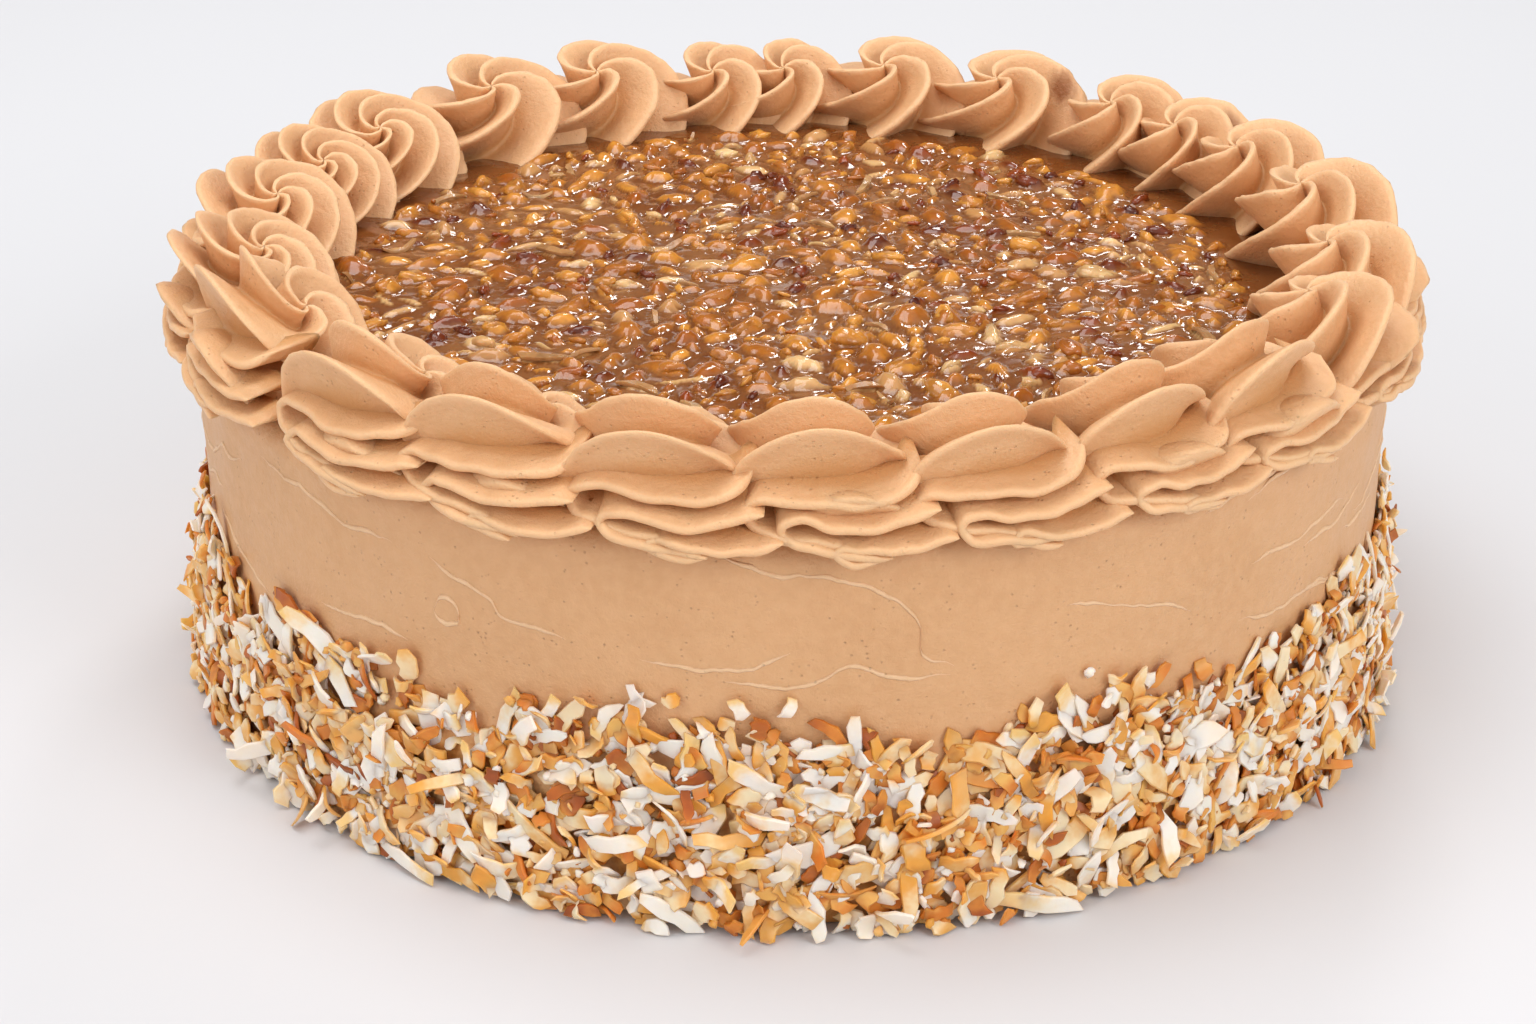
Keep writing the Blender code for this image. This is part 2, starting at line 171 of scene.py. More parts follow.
FOOT_RUFFLE = {
    "crest": ((20, 14.2, 2.2), (15, 14.8, 1.0), (9, 15.2, 0.5), (4, 15.0, 1.0), (1.5, 14.6, 1.4),
              (0.6, 14.6, 0.4), (3, 14.8, -0.7), (8, 14.8, -1.2)),
    "reach": 7.0, "lift": 1.0, "thick": 1.3}
FOLDS = (MIDDLE_FOLD, LOWER_FOLD, FOOT_RUFFLE)
FOLD_ACROSS = ((1.0, 0.0), (0.985, 0.36), (0.93, 0.5), (0.82, 0.55),
               (0.66, 0.62), (0.48, 0.75), (0.25, 1.0), (0.0, 1.3))

# Spots of caramel on the border: azimuth, radius, height and size
STAINS = ((146.5, 103.0, 82.8, 5.0), (124.8, 108.5, 80.8, 4.6))

# The camera that took the photograph
CAMERA_AT = (0.0, -0.499, 0.262)
CAMERA_PITCH = 25.75
CAMERA_YAW = -0.535
CAMERA_ROLL = 0.305
FOCAL_LENGTH = 65.625


def mesh_object(name, points, faces, collection=None):
    """A new object from points in millimetres and faces."""
    mesh = bpy.data.meshes.new(name)
    mesh.from_pydata((np.asarray(points, float) * MM).tolist(), [], faces)
    mesh.update()
    made = bpy.data.objects.new(name, mesh)
    (collection or bpy.context.scene.collection).objects.link(made)
    return made


def grid_faces(rows, columns, start=0, closed=True):
    """Faces of a grid of points, its columns joined end to end where it is closed."""
    row = np.arange(rows - 1)[:, None] * columns + start
    column = np.arange(columns if closed else columns - 1)[None, :]
    after = (column + 1) % columns
    corners = np.stack([row + column, row + after, row + columns + after, row + columns + column], -1)
    return corners.reshape(-1, 4).tolist()


def fill_attribute(made, name, values):
    """Stores one number for each point of the mesh."""
    attribute = made.data.attributes.new(name, "FLOAT", "POINT")
    attribute.data.foreach_set("value", np.asarray(values, np.float32).ravel())


def smooth_noise(points, seed):
    """Smooth noise between about -1 and 1 at an array of points, one unit from bump to bump."""
    points = np.asarray(points, float)
    cell = np.floor(points).astype(np.int64)
    part = points - cell
    ease = part * part * part * (part * (part * 6 - 15) + 10)
    total = np.zeros(points.shape[:-1])
    for corner in range(8):
        step = np.array([(corner >> axis) & 1 for axis in range(3)])
        place = cell + step
        mixed = place[..., 0] * 73856093 ^ place[..., 1] * 19349663
        mixed = mixed ^ place[..., 2] * 83492791 ^ seed * 2654435
        mixed = (mixed ^ (mixed >> 13)) * 1274126177 & 0x7FFFFFFF
        turn = (mixed & 0xFFFF) / 65536.0 * 2 * math.pi
        lift = ((mixed >> 15) & 0xFFFF) / 32768.0 - 1.0
        flat = np.sqrt(np.maximum(0, 1 - lift * lift))
        away = part - step
        slope = away[..., 0] * flat * np.cos(turn) + away[..., 1] * flat * np.sin(turn) + away[..., 2] * lift
        weight = np.prod(np.where(step == 1, ease, 1 - ease), axis=-1)
        total += weight * slope
    return total * 1.6


def finish_piece(made, nodes, material=None):
    """Puts a finished piece on the cake's one body."""
    if material is not None:
        made.data.materials.clear()
        made.data.materials.append(material)
    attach(made, BODY)
    if nodes:
        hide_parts(*nodes)
    return made


class Finish:
    """A material's node tree with short ways to add to it."""

    def __init__(self, name):
        self.material = bpy.data.materials.new(name)
        self.material.use_nodes = True
        self.nodes = self.material.node_tree.nodes
        self.links = self.material.node_tree.links
        self.shader = self.nodes["Principled BSDF"]
        self.place = self.nodes.new("ShaderNodeTexCoord").outputs["Object"]

    def set(self, **values):
        for key, value in values.items():
            socket = self.shader.inputs[key.replace("_", " ")]
            if isinstance(value, bpy.types.NodeSocket):
                self.links.new(value, socket)
            else:
                socket.default_value = value

    def feed(self, node, name, value):
        if isinstance(value, bpy.types.NodeSocket):
            self.links.new(value, node.inputs[name])
        else:
            node.inputs[name].default_value = value

    def noise(self, scale, detail=3.0, roughness=0.5, stretch=None, distortion=0.0):
        node = self.nodes.new("ShaderNodeTexNoise")
        place = self.place
        if stretch:
            mapping = self.nodes.new("ShaderNodeMapping")
            mapping.inputs["Scale"].default_value = stretch
            self.links.new(place, mapping.inputs["Vector"])
            place = mapping.outputs["Vector"]
        self.links.new(place, node.inputs["Vector"])
        node.inputs["Scale"].default_value = scale
        node.inputs["Detail"].default_value = detail
        node.inputs["Roughness"].default_value = roughness
        node.inputs["Distortion"].default_value = distortion
        return node.outputs["Fac"]

    def cells(self, scale, feature="F1", randomness=1.0, output="Distance"):
        node = self.nodes.new("ShaderNodeTexVoronoi")
        node.feature = feature
        self.links.new(self.place, node.inputs["Vector"])
        node.inputs["Scale"].default_value = scale
        node.inputs["Randomness"].default_value = randomness
        return node.outputs[output]

    def attribute(self, name, output="Fac"):
        node = self.nodes.new("ShaderNodeAttribute")
        node.attribute_name = name
        return node.outputs[output]

    def span(self, value, low, high, to_low=0.0, to_high=1.0):
        node = self.nodes.new("ShaderNodeMapRange")
        node.interpolation_type = "SMOOTHSTEP"
        self.feed(node, "Value", value)
        node.inputs["From Min"].default_value = low
        node.inputs["From Max"].default_value = high
        node.inputs["To Min"].default_value = to_low
        node.inputs["To Max"].default_value = to_high
        return node.outputs["Result"]

    def math(self, kind, first, second=0.0):
        node = self.nodes.new("ShaderNodeMath")
        node.operation = kind
        for socket, value in zip(node.inputs, (first, second)):
            if isinstance(value, bpy.types.NodeSocket):
                self.links.new(value, socket)
            else:
                socket.default_value = value
        return node.outputs["Value"]

    def mix(self, share, first, second):
        node = self.nodes.new("ShaderNodeMix")
        node.data_type = "RGBA"
        for socket, value in ((node.inputs[0], share), (node.inputs[6], first), (node.inputs[7], second)):
            if isinstance(value, bpy.types.NodeSocket):
                self.links.new(value, socket)
            elif isinstance(value, (tuple, list)) or hasattr(value, "r"):
                socket.default_value = (*tuple(value)[:3], 1.0)
            else:
                socket.default_value = value
        return node.outputs[2]

    def bump(self, height, distance, strength=1.0, under=None):
        node = self.nodes.new("ShaderNodeBump")
        node.inputs["Strength"].default_value = strength
        node.inputs["Distance"].default_value = distance
        self.links.new(height, node.inputs["Height"])
        if under is not None:
            self.links.new(under, node.inputs["Normal"])
        return node.outputs["Normal"]


def buttercream(name, colour, piped=False, crumbed=False):
    """Whipped chocolate buttercream: satin, a little translucent, with air pits darkened by painted shade;
    piped work has painted shade in its valleys and painted light on its crests.
    """
    finish = Finish(name)
    colour = tuple(colour)[:3]
    darker = tuple(c * k for c, k in zip(colour, (0.95, 0.93, 0.90)))
    paler = tuple(min(1.0, c * k) for c, k in zip(colour, (1.06, 1.09, 1.14)))
    broad = finish.span(finish.noise(38, 2.0), 0.35, 0.65)
    fine = finish.span(finish.noise(420, 3.0), 0.30, 0.72)
    tone = finish.mix(broad, darker, colour)
    tone = finish.mix(finish.math("MULTIPLY", fine, 0.55), tone, paler)
    pits = finish.cells(760)
    spots = finish.math("MULTIPLY", finish.span(pits, 0.08, 0.22, 1.0, 0.0),
                        finish.span(finish.noise(210, 1.0), 0.50, 0.62))
    # Painted shade darkens the air pits; the same mask dents them in the bump below.
    tone = finish.mix(finish.math("MULTIPLY", spots, 0.45), tone, tuple(c * 0.55 for c in colour))
    if piped:
        # Painted shade in the rib valleys and painted light on the thin crest edges, both read from the crest
        # attribute.
        crest = finish.attribute("crest")
        painted_valley_shade = tuple(c * k for c, k in zip(colour, (0.84, 0.73, 0.58)))
        edge = tuple(min(1.0, c * k) for c, k in zip(colour, (1.12, 1.18, 1.26)))
        tone = finish.mix(finish.span(crest, 0.0, 0.45), painted_valley_shade, tone)
        tone = finish.mix(finish.span(crest, 0.80, 1.0, 0.0, 0.7), tone, edge)
        tone = finish.mix(finish.attribute("stain"), tone, (0.30, 0.105, 0.028))
    if crumbed:
        patch = finish.span(finish.noise(210, 2.0), 0.35, 0.65)
        toasted = finish.mix(patch, (0.52, 0.22, 0.050), (0.80, 0.50, 0.24))
        tone = finish.mix(finish.attribute("crumbed"), tone, toasted)
    grain = finish.bump(finish.noise(1000, 3.0, 0.7), 0.00034, 0.8)
    grain = finish.bump(finish.noise(190, 2.0), 0.0005, 0.35, grain)
    normal = finish.bump(finish.math("SUBTRACT", 1.0, spots), 0.00025, 0.6, grain)
    sweep = finish.noise(30, 2.0, 0.5, stretch=(1.0, 1.0, 4.0))
    normal = finish.bump(sweep, 0.0010, 0.4, normal)
    finish.set(Base_Color=tone, Roughness=finish.span(finish.noise(90), 0.3, 0.7, 0.44, 0.56),
               Normal=normal, Subsurface_Weight=0.12, Subsurface_Scale=0.003,
               Specular_IOR_Level=0.42)
    finish.shader.inputs["Subsurface Radius"].default_value = (1.0, 0.55, 0.30)
    return finish.material


def custard_finish(name, colour):
    """Glossy cooked custard, taupe between the nuts and clear over the nuts just under its surface."""
    finish = Finish(name)
    colour = tuple(colour)[:3]
    deep = tuple(c * k for c, k in zip(colour, (0.78, 0.60, 0.40)))
    milky = tuple(min(1.0, c * k) for c, k in zip(colour, (1.24, 1.34, 1.5)))
    patch = finish.span(finish.noise(48, 3.0, 0.55, distortion=0.4), 0.36, 0.62)
    tone = finish.mix(patch, deep, colour)
    streak = finish.span(finish.noise(95, 2.0, 0.5, distortion=0.8), 0.55, 0.72)
    tone = finish.mix(finish.math("MULTIPLY", streak, 0.45), tone, milky)
    # Dark syrup colour towards the rim, and deeper syrup with painted shade in the grooves round the nuts.
    tone = finish.mix(finish.attribute("syrup"), tone, (0.17, 0.048, 0.008))
    shade = finish.attribute("lump_shade")
    vein = finish.span(finish.noise(330, 3.0, 0.6), 0.38, 0.66)
    amber = finish.mix(shade, (0.34, 0.085, 0.007), (0.74, 0.32, 0.045))
    amber = finish.mix(finish.math("MULTIPLY", vein, 0.35), amber, (0.24, 0.052, 0.005))
    tone = finish.mix(finish.attribute("amber"), tone, amber)
    pale = finish.mix(shade, (0.50, 0.225, 0.068), (0.78, 0.50, 0.22))
    tone = finish.mix(finish.attribute("pale"), tone, pale)
    dark = finish.mix(shade, (0.085, 0.010, 0.002), (0.28, 0.050, 0.004))
    dark = finish.mix(finish.math("MULTIPLY", vein, 0.4), dark, (0.030, 0.005, 0.002))
    tone = finish.mix(finish.attribute("dark"), tone, dark)
    ripple = finish.bump(finish.noise(170, 1.5), 0.0006, 0.28)
    finish.set(Base_Color=tone, Roughness=0.13, Normal=ripple, Subsurface_Weight=0.18,
               Subsurface_Scale=0.003, Coat_Weight=0.35, Coat_Roughness=0.03, Specular_IOR_Level=0.40)
    finish.shader.inputs["Subsurface Radius"].default_value = (1.0, 0.42, 0.16)
    return finish.material


def nut_finish(name, pale, deep, rough=0.16):
    """Chopped nut or coconut under a film of syrup. Each piece has its own shade."""
    finish = Finish(name)
    shade = finish.attribute("shade")
    tone = finish.mix(shade, deep, pale)
    blotch = finish.span(finish.noise(240, 3.0, 0.6), 0.40, 0.68)
    tone = finish.mix(finish.math("MULTIPLY", blotch, 0.6), tone, tuple(c * 0.55 for c in deep))
    grain = finish.bump(finish.noise(700, 2.0), 0.0004, 0.5)
    grain = finish.bump(finish.noise(300, 2.0), 0.0009, 0.45, grain)
    finish.set(Base_Color=tone, Roughness=rough, Normal=grain, Subsurface_Weight=0.25,
               Subsurface_Scale=0.003, Coat_Weight=0.25, Coat_Roughness=0.05, Specular_IOR_Level=0.42)
    finish.shader.inputs["Subsurface Radius"].default_value = (1.0, 0.5, 0.2)
    return finish.material


def coconut_finish(name, pale, toast, least, most):
    """Flaked coconut, waxy and pale, toasted from its edges and one end."""
    finish = Finish(name)
    heat = finish.math("MULTIPLY", finish.attribute("shade"), 0.30)
    heat = finish.math("ADD", heat, finish.math("MULTIPLY", finish.attribute("edge"), 0.20))
    heat = finish.math("ADD", heat, finish.math("MULTIPLY", finish.attribute("end"), 0.40))
    heat = finish.math("ADD", heat, finish.math("MULTIPLY", finish.noise(190, 3.0, 0.6), 0.80))
    tone = finish.mix(finish.span(heat, least, most), pale, toast)
    dark = finish.span(heat, most, most + 0.35, 0.0, 0.7)
    tone = finish.mix(dark, tone, tuple(c * 0.5 for c in toast))
    cloud = finish.span(finish.noise(120, 2.0), 0.42, 0.66, 0.0, 0.35)
    tone = finish.mix(cloud, tone, tuple(c * k for c, k in zip(pale, (0.92, 0.78, 0.62))))
    grain = finish.bump(finish.noise(850, 2.0), 0.0002, 0.4)
    finish.set(Base_Color=tone, Roughness=0.42, Normal=grain, Subsurface_Weight=0.45,
               Subsurface_Scale=0.004, Specular_IOR_Level=0.40)
    finish.shader.inputs["Subsurface Radius"].default_value = (1.0, 0.68, 0.42)
    return finish.material


def stations(values, steps):
    """Values between the stations of a swirl, eased so that no crease shows."""
    share = np.linspace(0, 1, steps)
    width = max(3, steps // 10 * 2 + 1)
    half = width // 2
    line = np.interp(share, STATION, values)
    padded = np.concatenate([np.full(half, line[0]), line, np.full(half, line[-1])])
    return np.convolve(padded, np.ones(width) / width, mode="valid")


def swirl_variation(index):
    """How one hand-piped swirl differs from the next, from its place in the ring and a seeded draw."""
    before = TIP_AZIMUTHS[index - 1] - (360 if index == 0 else 0)
    after = TIP_AZIMUTHS[(index + 1) % len(TIP_AZIMUTHS)] + (360 if index == len(TIP_AZIMUTHS) - 1 else 0)
    room = min(1.16, max(0.78, (after - before) / 2 / EVEN_STEP))
    draw = random.Random(100 + index)
    tip = TIP_AZIMUTHS[index]
    style = LEFT_STYLE
    if FRONT_FROM < tip < FRONT_TO:
        style = FRONT_STYLE
    elif FRONT_TO < tip < BACK_TO:
        style = BACK_STYLE
    return {
        **style,
        "length": room * draw.uniform(0.98, 1.04),
        "depth": (0.6 + 0.4 * room) * draw.uniform(0.97, 1.03),
        "height": (0.5 + 0.5 * room) * draw.uniform(0.95, 1.05),
        "lean_in": style["lean_in"] + draw.uniform(-3, 3),
        "lean_along": style["lean_along"] + draw.uniform(-5, 3),
        "twist": style["twist"] * draw.uniform(0.92, 1.08),
        "phase": FIRST_TURN + draw.uniform(-10, 10),
    }


def swirl_points(variation, seed):
    """Rows of points from the foot of a swirl to its tip, x along the ring, y outward and z up, and how near
    each is to a rib's crest."""
    steps = SWIRL_STEPS
    ribs = variation["ribs"]
    per_rib = POINTS_ROUND // ribs
    centre = np.stack([stations(ALONG, steps) * variation["shift_along"],
                       stations(OUTWARD, steps) * variation["shift_out"], stations(LEVEL, steps)], 1)
    lean_in = math.radians(variation["lean_in"])
    lean_along = math.radians(variation["lean_along"])
    axis = np.array([math.sin(lean_along), -math.sin(lean_in), 1.0])
    axis /= np.linalg.norm(axis)
    along = np.array([1.0, 0.0, 0.0]) - axis[0] * axis
    along /= np.linalg.norm(along)
    across = np.cross(axis, along)
    heap = stations(HEAP, steps)
    heap[-1] = HEAP[-1]
    rib = stations(RIB, steps)
    turn = np.radians(stations(TURN, steps)) * variation["twist"]
    stand = np.radians(stations(STAND, steps))[:, None, None]
    count = np.arange(ribs * per_rib)
    share = (count % per_rib) / per_rib - 0.5
    share = np.sign(share) * (2 * np.abs(share)) ** 1.35 / 2
    angle = (count // per_rib + share) * 2 * math.pi / ribs
    crest = CREST_WIDTH * ribs / (2 * math.pi * (heap + rib))
    crest = np.clip(crest, 0.02, 0.55)[:, None]
    fall = np.clip((np.abs(2 * share)[None, :] - crest) / (1 - crest), 0, 1)
    height = (1 - fall) ** VALLEY_POWER
    angle = angle[None, :] + turn[:, None] + math.radians(variation["phase"])
    angle = angle + math.radians(RIB_LEAN) * height
    angle = angle - variation["crowd"] * np.cos(angle)
    out = -BROAD * np.cos(angle)[..., None] * along + np.sin(angle)[..., None] * across
    away = np.cos(stand) * out + np.sin(stand) * axis
    points = centre[:, None, :] + heap[:, None, None] * out + (rib[:, None] * height)[..., None] * away
    ragged = smooth_noise(points / 3.0, 400 + seed) * 0.35 + smooth_noise(points / 1.1, 500 + seed) * 0.12
    points = points + (ragged * height)[..., None] * away
    return points * np.array([variation["length"], variation["depth"], variation["height"]]), height


def arched(rows, style):
    """The swirl with its outer foot tucked in under the folds and its outer ribs arched over its middle."""
    x, y, z = rows[..., 0], rows[..., 1], rows[..., 2]
    low = np.clip((FOOT_TUCK_BELOW - z) / 5, 0, 1)
    y = np.where(y > 0, y * (1 - FOOT_TUCK * low), y)
    away = np.clip(np.abs(x - ARCH_PEAK) / ARCH_HALF, 0, 1.3)
    outer = np.clip((y + 4.0) / 7.0, 0, 1)
    outer = outer * outer * (3 - 2 * outer)
    outside = style["raise"] - style["arch"] * away ** 2
    inside = INNER_RAISE - INNER_ARCH * away ** 2
    z = z + np.clip((z - ARCH_FROM) / 7, 0, 1) * (outer * outside + (1 - outer) * inside)
    soft_top = style["soft_top"]
    z = np.where(z > soft_top, soft_top + (z - soft_top) * style["soft_share"], z)
    return np.stack([x, y, z], -1)


def curve_through(points, steps):
    """A smooth curve through the given points, its steps even in length."""
    spots = np.array(points, float)
    gap = np.linalg.norm(np.diff(spots, axis=0), axis=1)
    reach = np.concatenate([[0], np.cumsum(gap)])
    slope = np.gradient(spots, reach, axis=0)
    place = np.linspace(0, reach[-1], steps)
    k = np.clip(np.searchsorted(reach, place, side="right") - 1, 0, len(reach) - 2)
    span = (reach[k + 1] - reach[k])[:, None]
    t = (place - reach[k])[:, None] / span
    return ((2 * t**3 - 3 * t**2 + 1) * spots[k] + (t**3 - 2 * t**2 + t) * span * slope[k]
            + (3 * t**2 - 2 * t**3) * spots[k + 1] + (t**3 - t**2) * span * slope[k + 1])


def fold_points(fold, style, seed):
    """Rows of points round a thin fold of buttercream, from one end of its crest to the other."""
    draw = np.random.default_rng(seed)
    crest = np.array(fold["crest"], float) * np.array([1.0, 1.0, style["fold_height"]])
    crest = curve_through(crest + draw.uniform(-0.4, 0.4, crest.shape), FOLD_STEPS)
    root = crest + np.array([0.0, -fold["reach"] * style["fold_reach"], fold["lift"] * style["fold_lift"]])
    wave = np.stack([smooth_noise(crest / 5.0, seed + k) for k in (1, 2, 3)], -1)
    crest = crest + wave * np.array([0.2, 0.5, 0.6])
    ahead = np.gradient(crest, axis=0)
    ahead /= np.linalg.norm(ahead, axis=1)[:, None]
    inward = root - crest
    face = np.cross(ahead, inward)
    face /= np.linalg.norm(face, axis=1)[:, None]
    share = np.linspace(0, 1, FOLD_STEPS)
    ends = np.clip(np.minimum(share, 1 - share) / 0.06, 0.05, 1)[:, None] ** 0.6
    sides = [(out, half) for out, half in FOLD_ACROSS] + [(out, -half) for out, half in FOLD_ACROSS[:0:-1]]
    columns = [crest + inward * (1 - out) + face * half * fold["thick"] * ends for out, half in sides]
    return np.stack(columns, 1)


def place_round_ring(points, azimuth):
    """Moves points to a swirl's place, their long way bent round the ring."""
    radius = RING_RADIUS + points[:, 1]
    turn = azimuth + points[:, 0] / FOLD_BEND_RADIUS
    return np.stack([radius * np.sin(turn), -radius * np.cos(turn), CAKE_HEIGHT + points[:, 2]], 1)


def stain_share(points):
    """How much caramel lies on each point of the border."""
    share = np.zeros(len(points))
    for azimuth, radius, height, size in STAINS:
        turn = math.radians(azimuth)
        spot = np.array([radius * math.sin(turn), -radius * math.cos(turn), height])
        away = np.linalg.norm(points - spot, axis=1) + 0.8 * smooth_noise(points / 1.6, 17)
        share = np.maximum(share, np.clip((size - away) / (0.45 * size), 0, 1))
    return share


def place_on_ring(points, azimuth):
    """Moves points from a swirl's own frame to its place on the cake."""
    sine, cosine = math.sin(azimuth), math.cos(azimuth)
    out = np.array([sine, -cosine, 0.0])
    along = np.array([cosine, sine, 0.0])
    up = np.array([0.0, 0.0, 1.0])
    spot = out * RING_RADIUS + up * CAKE_HEIGHT
    placed = spot + points[:, :1] * along + points[:, 1:2] * out + points[:, 2:] * up
    distance = np.hypot(placed[:, 0], placed[:, 1])
    hang = np.clip((distance - DROOP_FROM) / (DROOP_TO - DROOP_FROM), 0, 1) * DROOP
    placed[:, 2] = np.maximum(placed[:, 2], CAKE_HEIGHT - 0.6 - hang)
    return placed


def coat_edge(angle):
    """Height of the coconut coat's wavy upper edge."""
    wave = 0.6 * np.sin(3 * angle + 0.8) + 0.4 * np.sin(7 * angle + 2.0)
    return COAT_HEIGHT + COAT_WAVE * wave


def side_wave(turn, height):
    """How far the side's icing stands out from a true cylinder."""
    place = np.stack([np.cos(turn) * 6.5, np.sin(turn) * 6.5, height / 9.0], -1)
    return 0.35 * smooth_noise(place, 5) + 0.12 * smooth_noise(place * 3.1, 6)


def lip_paths(seed):
    """Paths of the lips on the side, the seen ones first and then more like them all round."""
    draw = random.Random(seed)
    paths = [list(path) for path in KNIFE_LIPS]
    while len(paths) < len(KNIFE_LIPS) + MORE_LIPS:
        azimuth = draw.uniform(16, 326)
        level = draw.uniform(40, 66)
        slope = draw.choice((-1, 1)) * draw.uniform(0.05, 0.55)
        path = []
        for _ in range(draw.randrange(4, 9)):
            path.append((azimuth, min(67.5, max(36.0, level))))
            azimuth += draw.uniform(1.6, 4.2)
            level += slope * draw.uniform(1.0, 5.5) + draw.gauss(0, 0.7)
        paths.append(path)
    return paths


def pieces_on_spots(name):
    """A node tree that puts chopped pieces on a mesh of spots, each with its own turn, size and shade."""
    tree = bpy.data.node_groups.new(name, "GeometryNodeTree")
    nodes, links = tree.nodes, tree.links
    face = tree.interface
    face.new_socket("Geometry", in_out="INPUT", socket_type="NodeSocketGeometry")
    face.new_socket("Chopped Pieces", in_out="INPUT", socket_type="NodeSocketCollection")
    length = face.new_socket("Length Scale", in_out="INPUT", socket_type="NodeSocketFloat")
    length.default_value = 1.0
    seed = face.new_socket("Seed", in_out="INPUT", socket_type="NodeSocketInt")
    seed.default_value = 1
    face.new_socket("Finish", in_out="INPUT", socket_type="NodeSocketMaterial")
    face.new_socket("Geometry", in_out="OUTPUT", socket_type="NodeSocketGeometry")
    source = nodes.new("NodeGroupInput")
    result = nodes.new("NodeGroupOutput")

    def named(attribute, kind):
        node = nodes.new("GeometryNodeInputNamedAttribute")
        node.data_type = kind
        node.inputs["Name"].default_value = attribute
        return node.outputs["Attribute"]

    chosen = nodes.new("GeometryNodeCollectionInfo")
    chosen.inputs["Separate Children"].default_value = True
    chosen.inputs["Reset Children"].default_value = True
    links.new(source.outputs["Chopped Pieces"], chosen.inputs["Collection"])
    shade = nodes.new("FunctionNodeRandomValue")
    shade.data_type = "FLOAT"
    links.new(source.outputs["Seed"], shade.inputs["Seed"])
    store = nodes.new("GeometryNodeStoreNamedAttribute")
    store.data_type = "FLOAT"
    store.domain = "POINT"
    store.inputs["Name"].default_value = "shade"
    links.new(source.outputs["Geometry"], store.inputs["Geometry"])
    links.new(next(s for s in shade.outputs if s.enabled), store.inputs["Value"])
    scale = nodes.new("ShaderNodeVectorMath")
    scale.operation = "SCALE"
    links.new(named("size", "FLOAT_VECTOR"), scale.inputs[0])
    links.new(source.outputs["Length Scale"], scale.inputs["Scale"])
    turn = nodes.new("FunctionNodeEulerToRotation")
    links.new(named("turn", "FLOAT_VECTOR"), turn.inputs["Euler"])
    put = nodes.new("GeometryNodeInstanceOnPoints")
    put.inputs["Pick Instance"].default_value = True
    links.new(store.outputs["Geometry"], put.inputs["Points"])
    links.new(chosen.outputs["Instances"], put.inputs["Instance"])
    links.new(named("pick", "INT"), put.inputs["Instance Index"])
    links.new(turn.outputs["Rotation"], put.inputs["Rotation"])
    links.new(scale.outputs["Vector"], put.inputs["Scale"])
    real = nodes.new("GeometryNodeRealizeInstances")
    links.new(put.outputs["Instances"], real.inputs["Geometry"])
    last = real.outputs["Geometry"]
    for attribute in ("turn", "size", "pick"):
        drop = nodes.new("GeometryNodeRemoveAttribute")
        drop.inputs["Name"].default_value = attribute
        links.new(last, drop.inputs["Geometry"])
        last = drop.outputs["Geometry"]
    paint = nodes.new("GeometryNodeSetMaterial")
    links.new(last, paint.inputs["Geometry"])
    links.new(source.outputs["Finish"], paint.inputs["Material"])
    links.new(paint.outputs["Geometry"], result.inputs["Geometry"])
    return tree


def scatter(name, spots, shapes, tree, finish, seed):
    """Bakes chopped pieces at the spots, rows of (place, turn, size, pick), into one plain mesh."""
    base = mesh_object(name + "_spots", [s[0] for s in spots], [])
    turn = base.data.attributes.new("turn", "FLOAT_VECTOR", "POINT")
    turn.data.foreach_set("vector", np.array([s[1] for s in spots], np.float32).ravel())
    size = base.data.attributes.new("size", "FLOAT_VECTOR", "POINT")
    size.data.foreach_set("vector", MM * np.array([s[2] for s in spots], np.float32).ravel())
    pick = base.data.attributes.new("pick", "INT", "POINT")
    pick.data.foreach_set("value", np.array([s[3] for s in spots], np.int32))
    nodes = base.modifiers.new("Chopped pieces", "NODES")
    nodes.node_group = tree
    values = {"Chopped Pieces": shapes, "Length Scale": 1.0, "Seed": seed, "Finish": finish}
    for item in tree.interface.items_tree:
        if item.in_out == "INPUT" and item.name in values:
            nodes[item.identifier] = values[item.name]
    bpy.context.view_layer.update()
    graph = bpy.context.evaluated_depsgraph_get()
    mesh = bpy.data.meshes.new_from_object(base.evaluated_get(graph), preserve_all_data_layers=True,
                                           depsgraph=graph)
    mesh.name = name
    made = bpy.data.objects.new(name, mesh)
    bpy.context.scene.collection.objects.link(made)
    bpy.data.objects.remove(base)
    mesh.materials.clear()
    mesh.materials.append(finish)
    points = np.zeros(len(mesh.vertices) * 3, np.float32)
    mesh.vertices.foreach_get("co", points)
    points = points.reshape(-1, 3)
    low = points[:, 2] < 0.0003
    points[low, 2] = 0.0003 + 0.0002 * np.abs(np.sin(points[low, 0] * 4000))
    mesh.vertices.foreach_set("co", points.ravel())
    mesh.update()
    return made


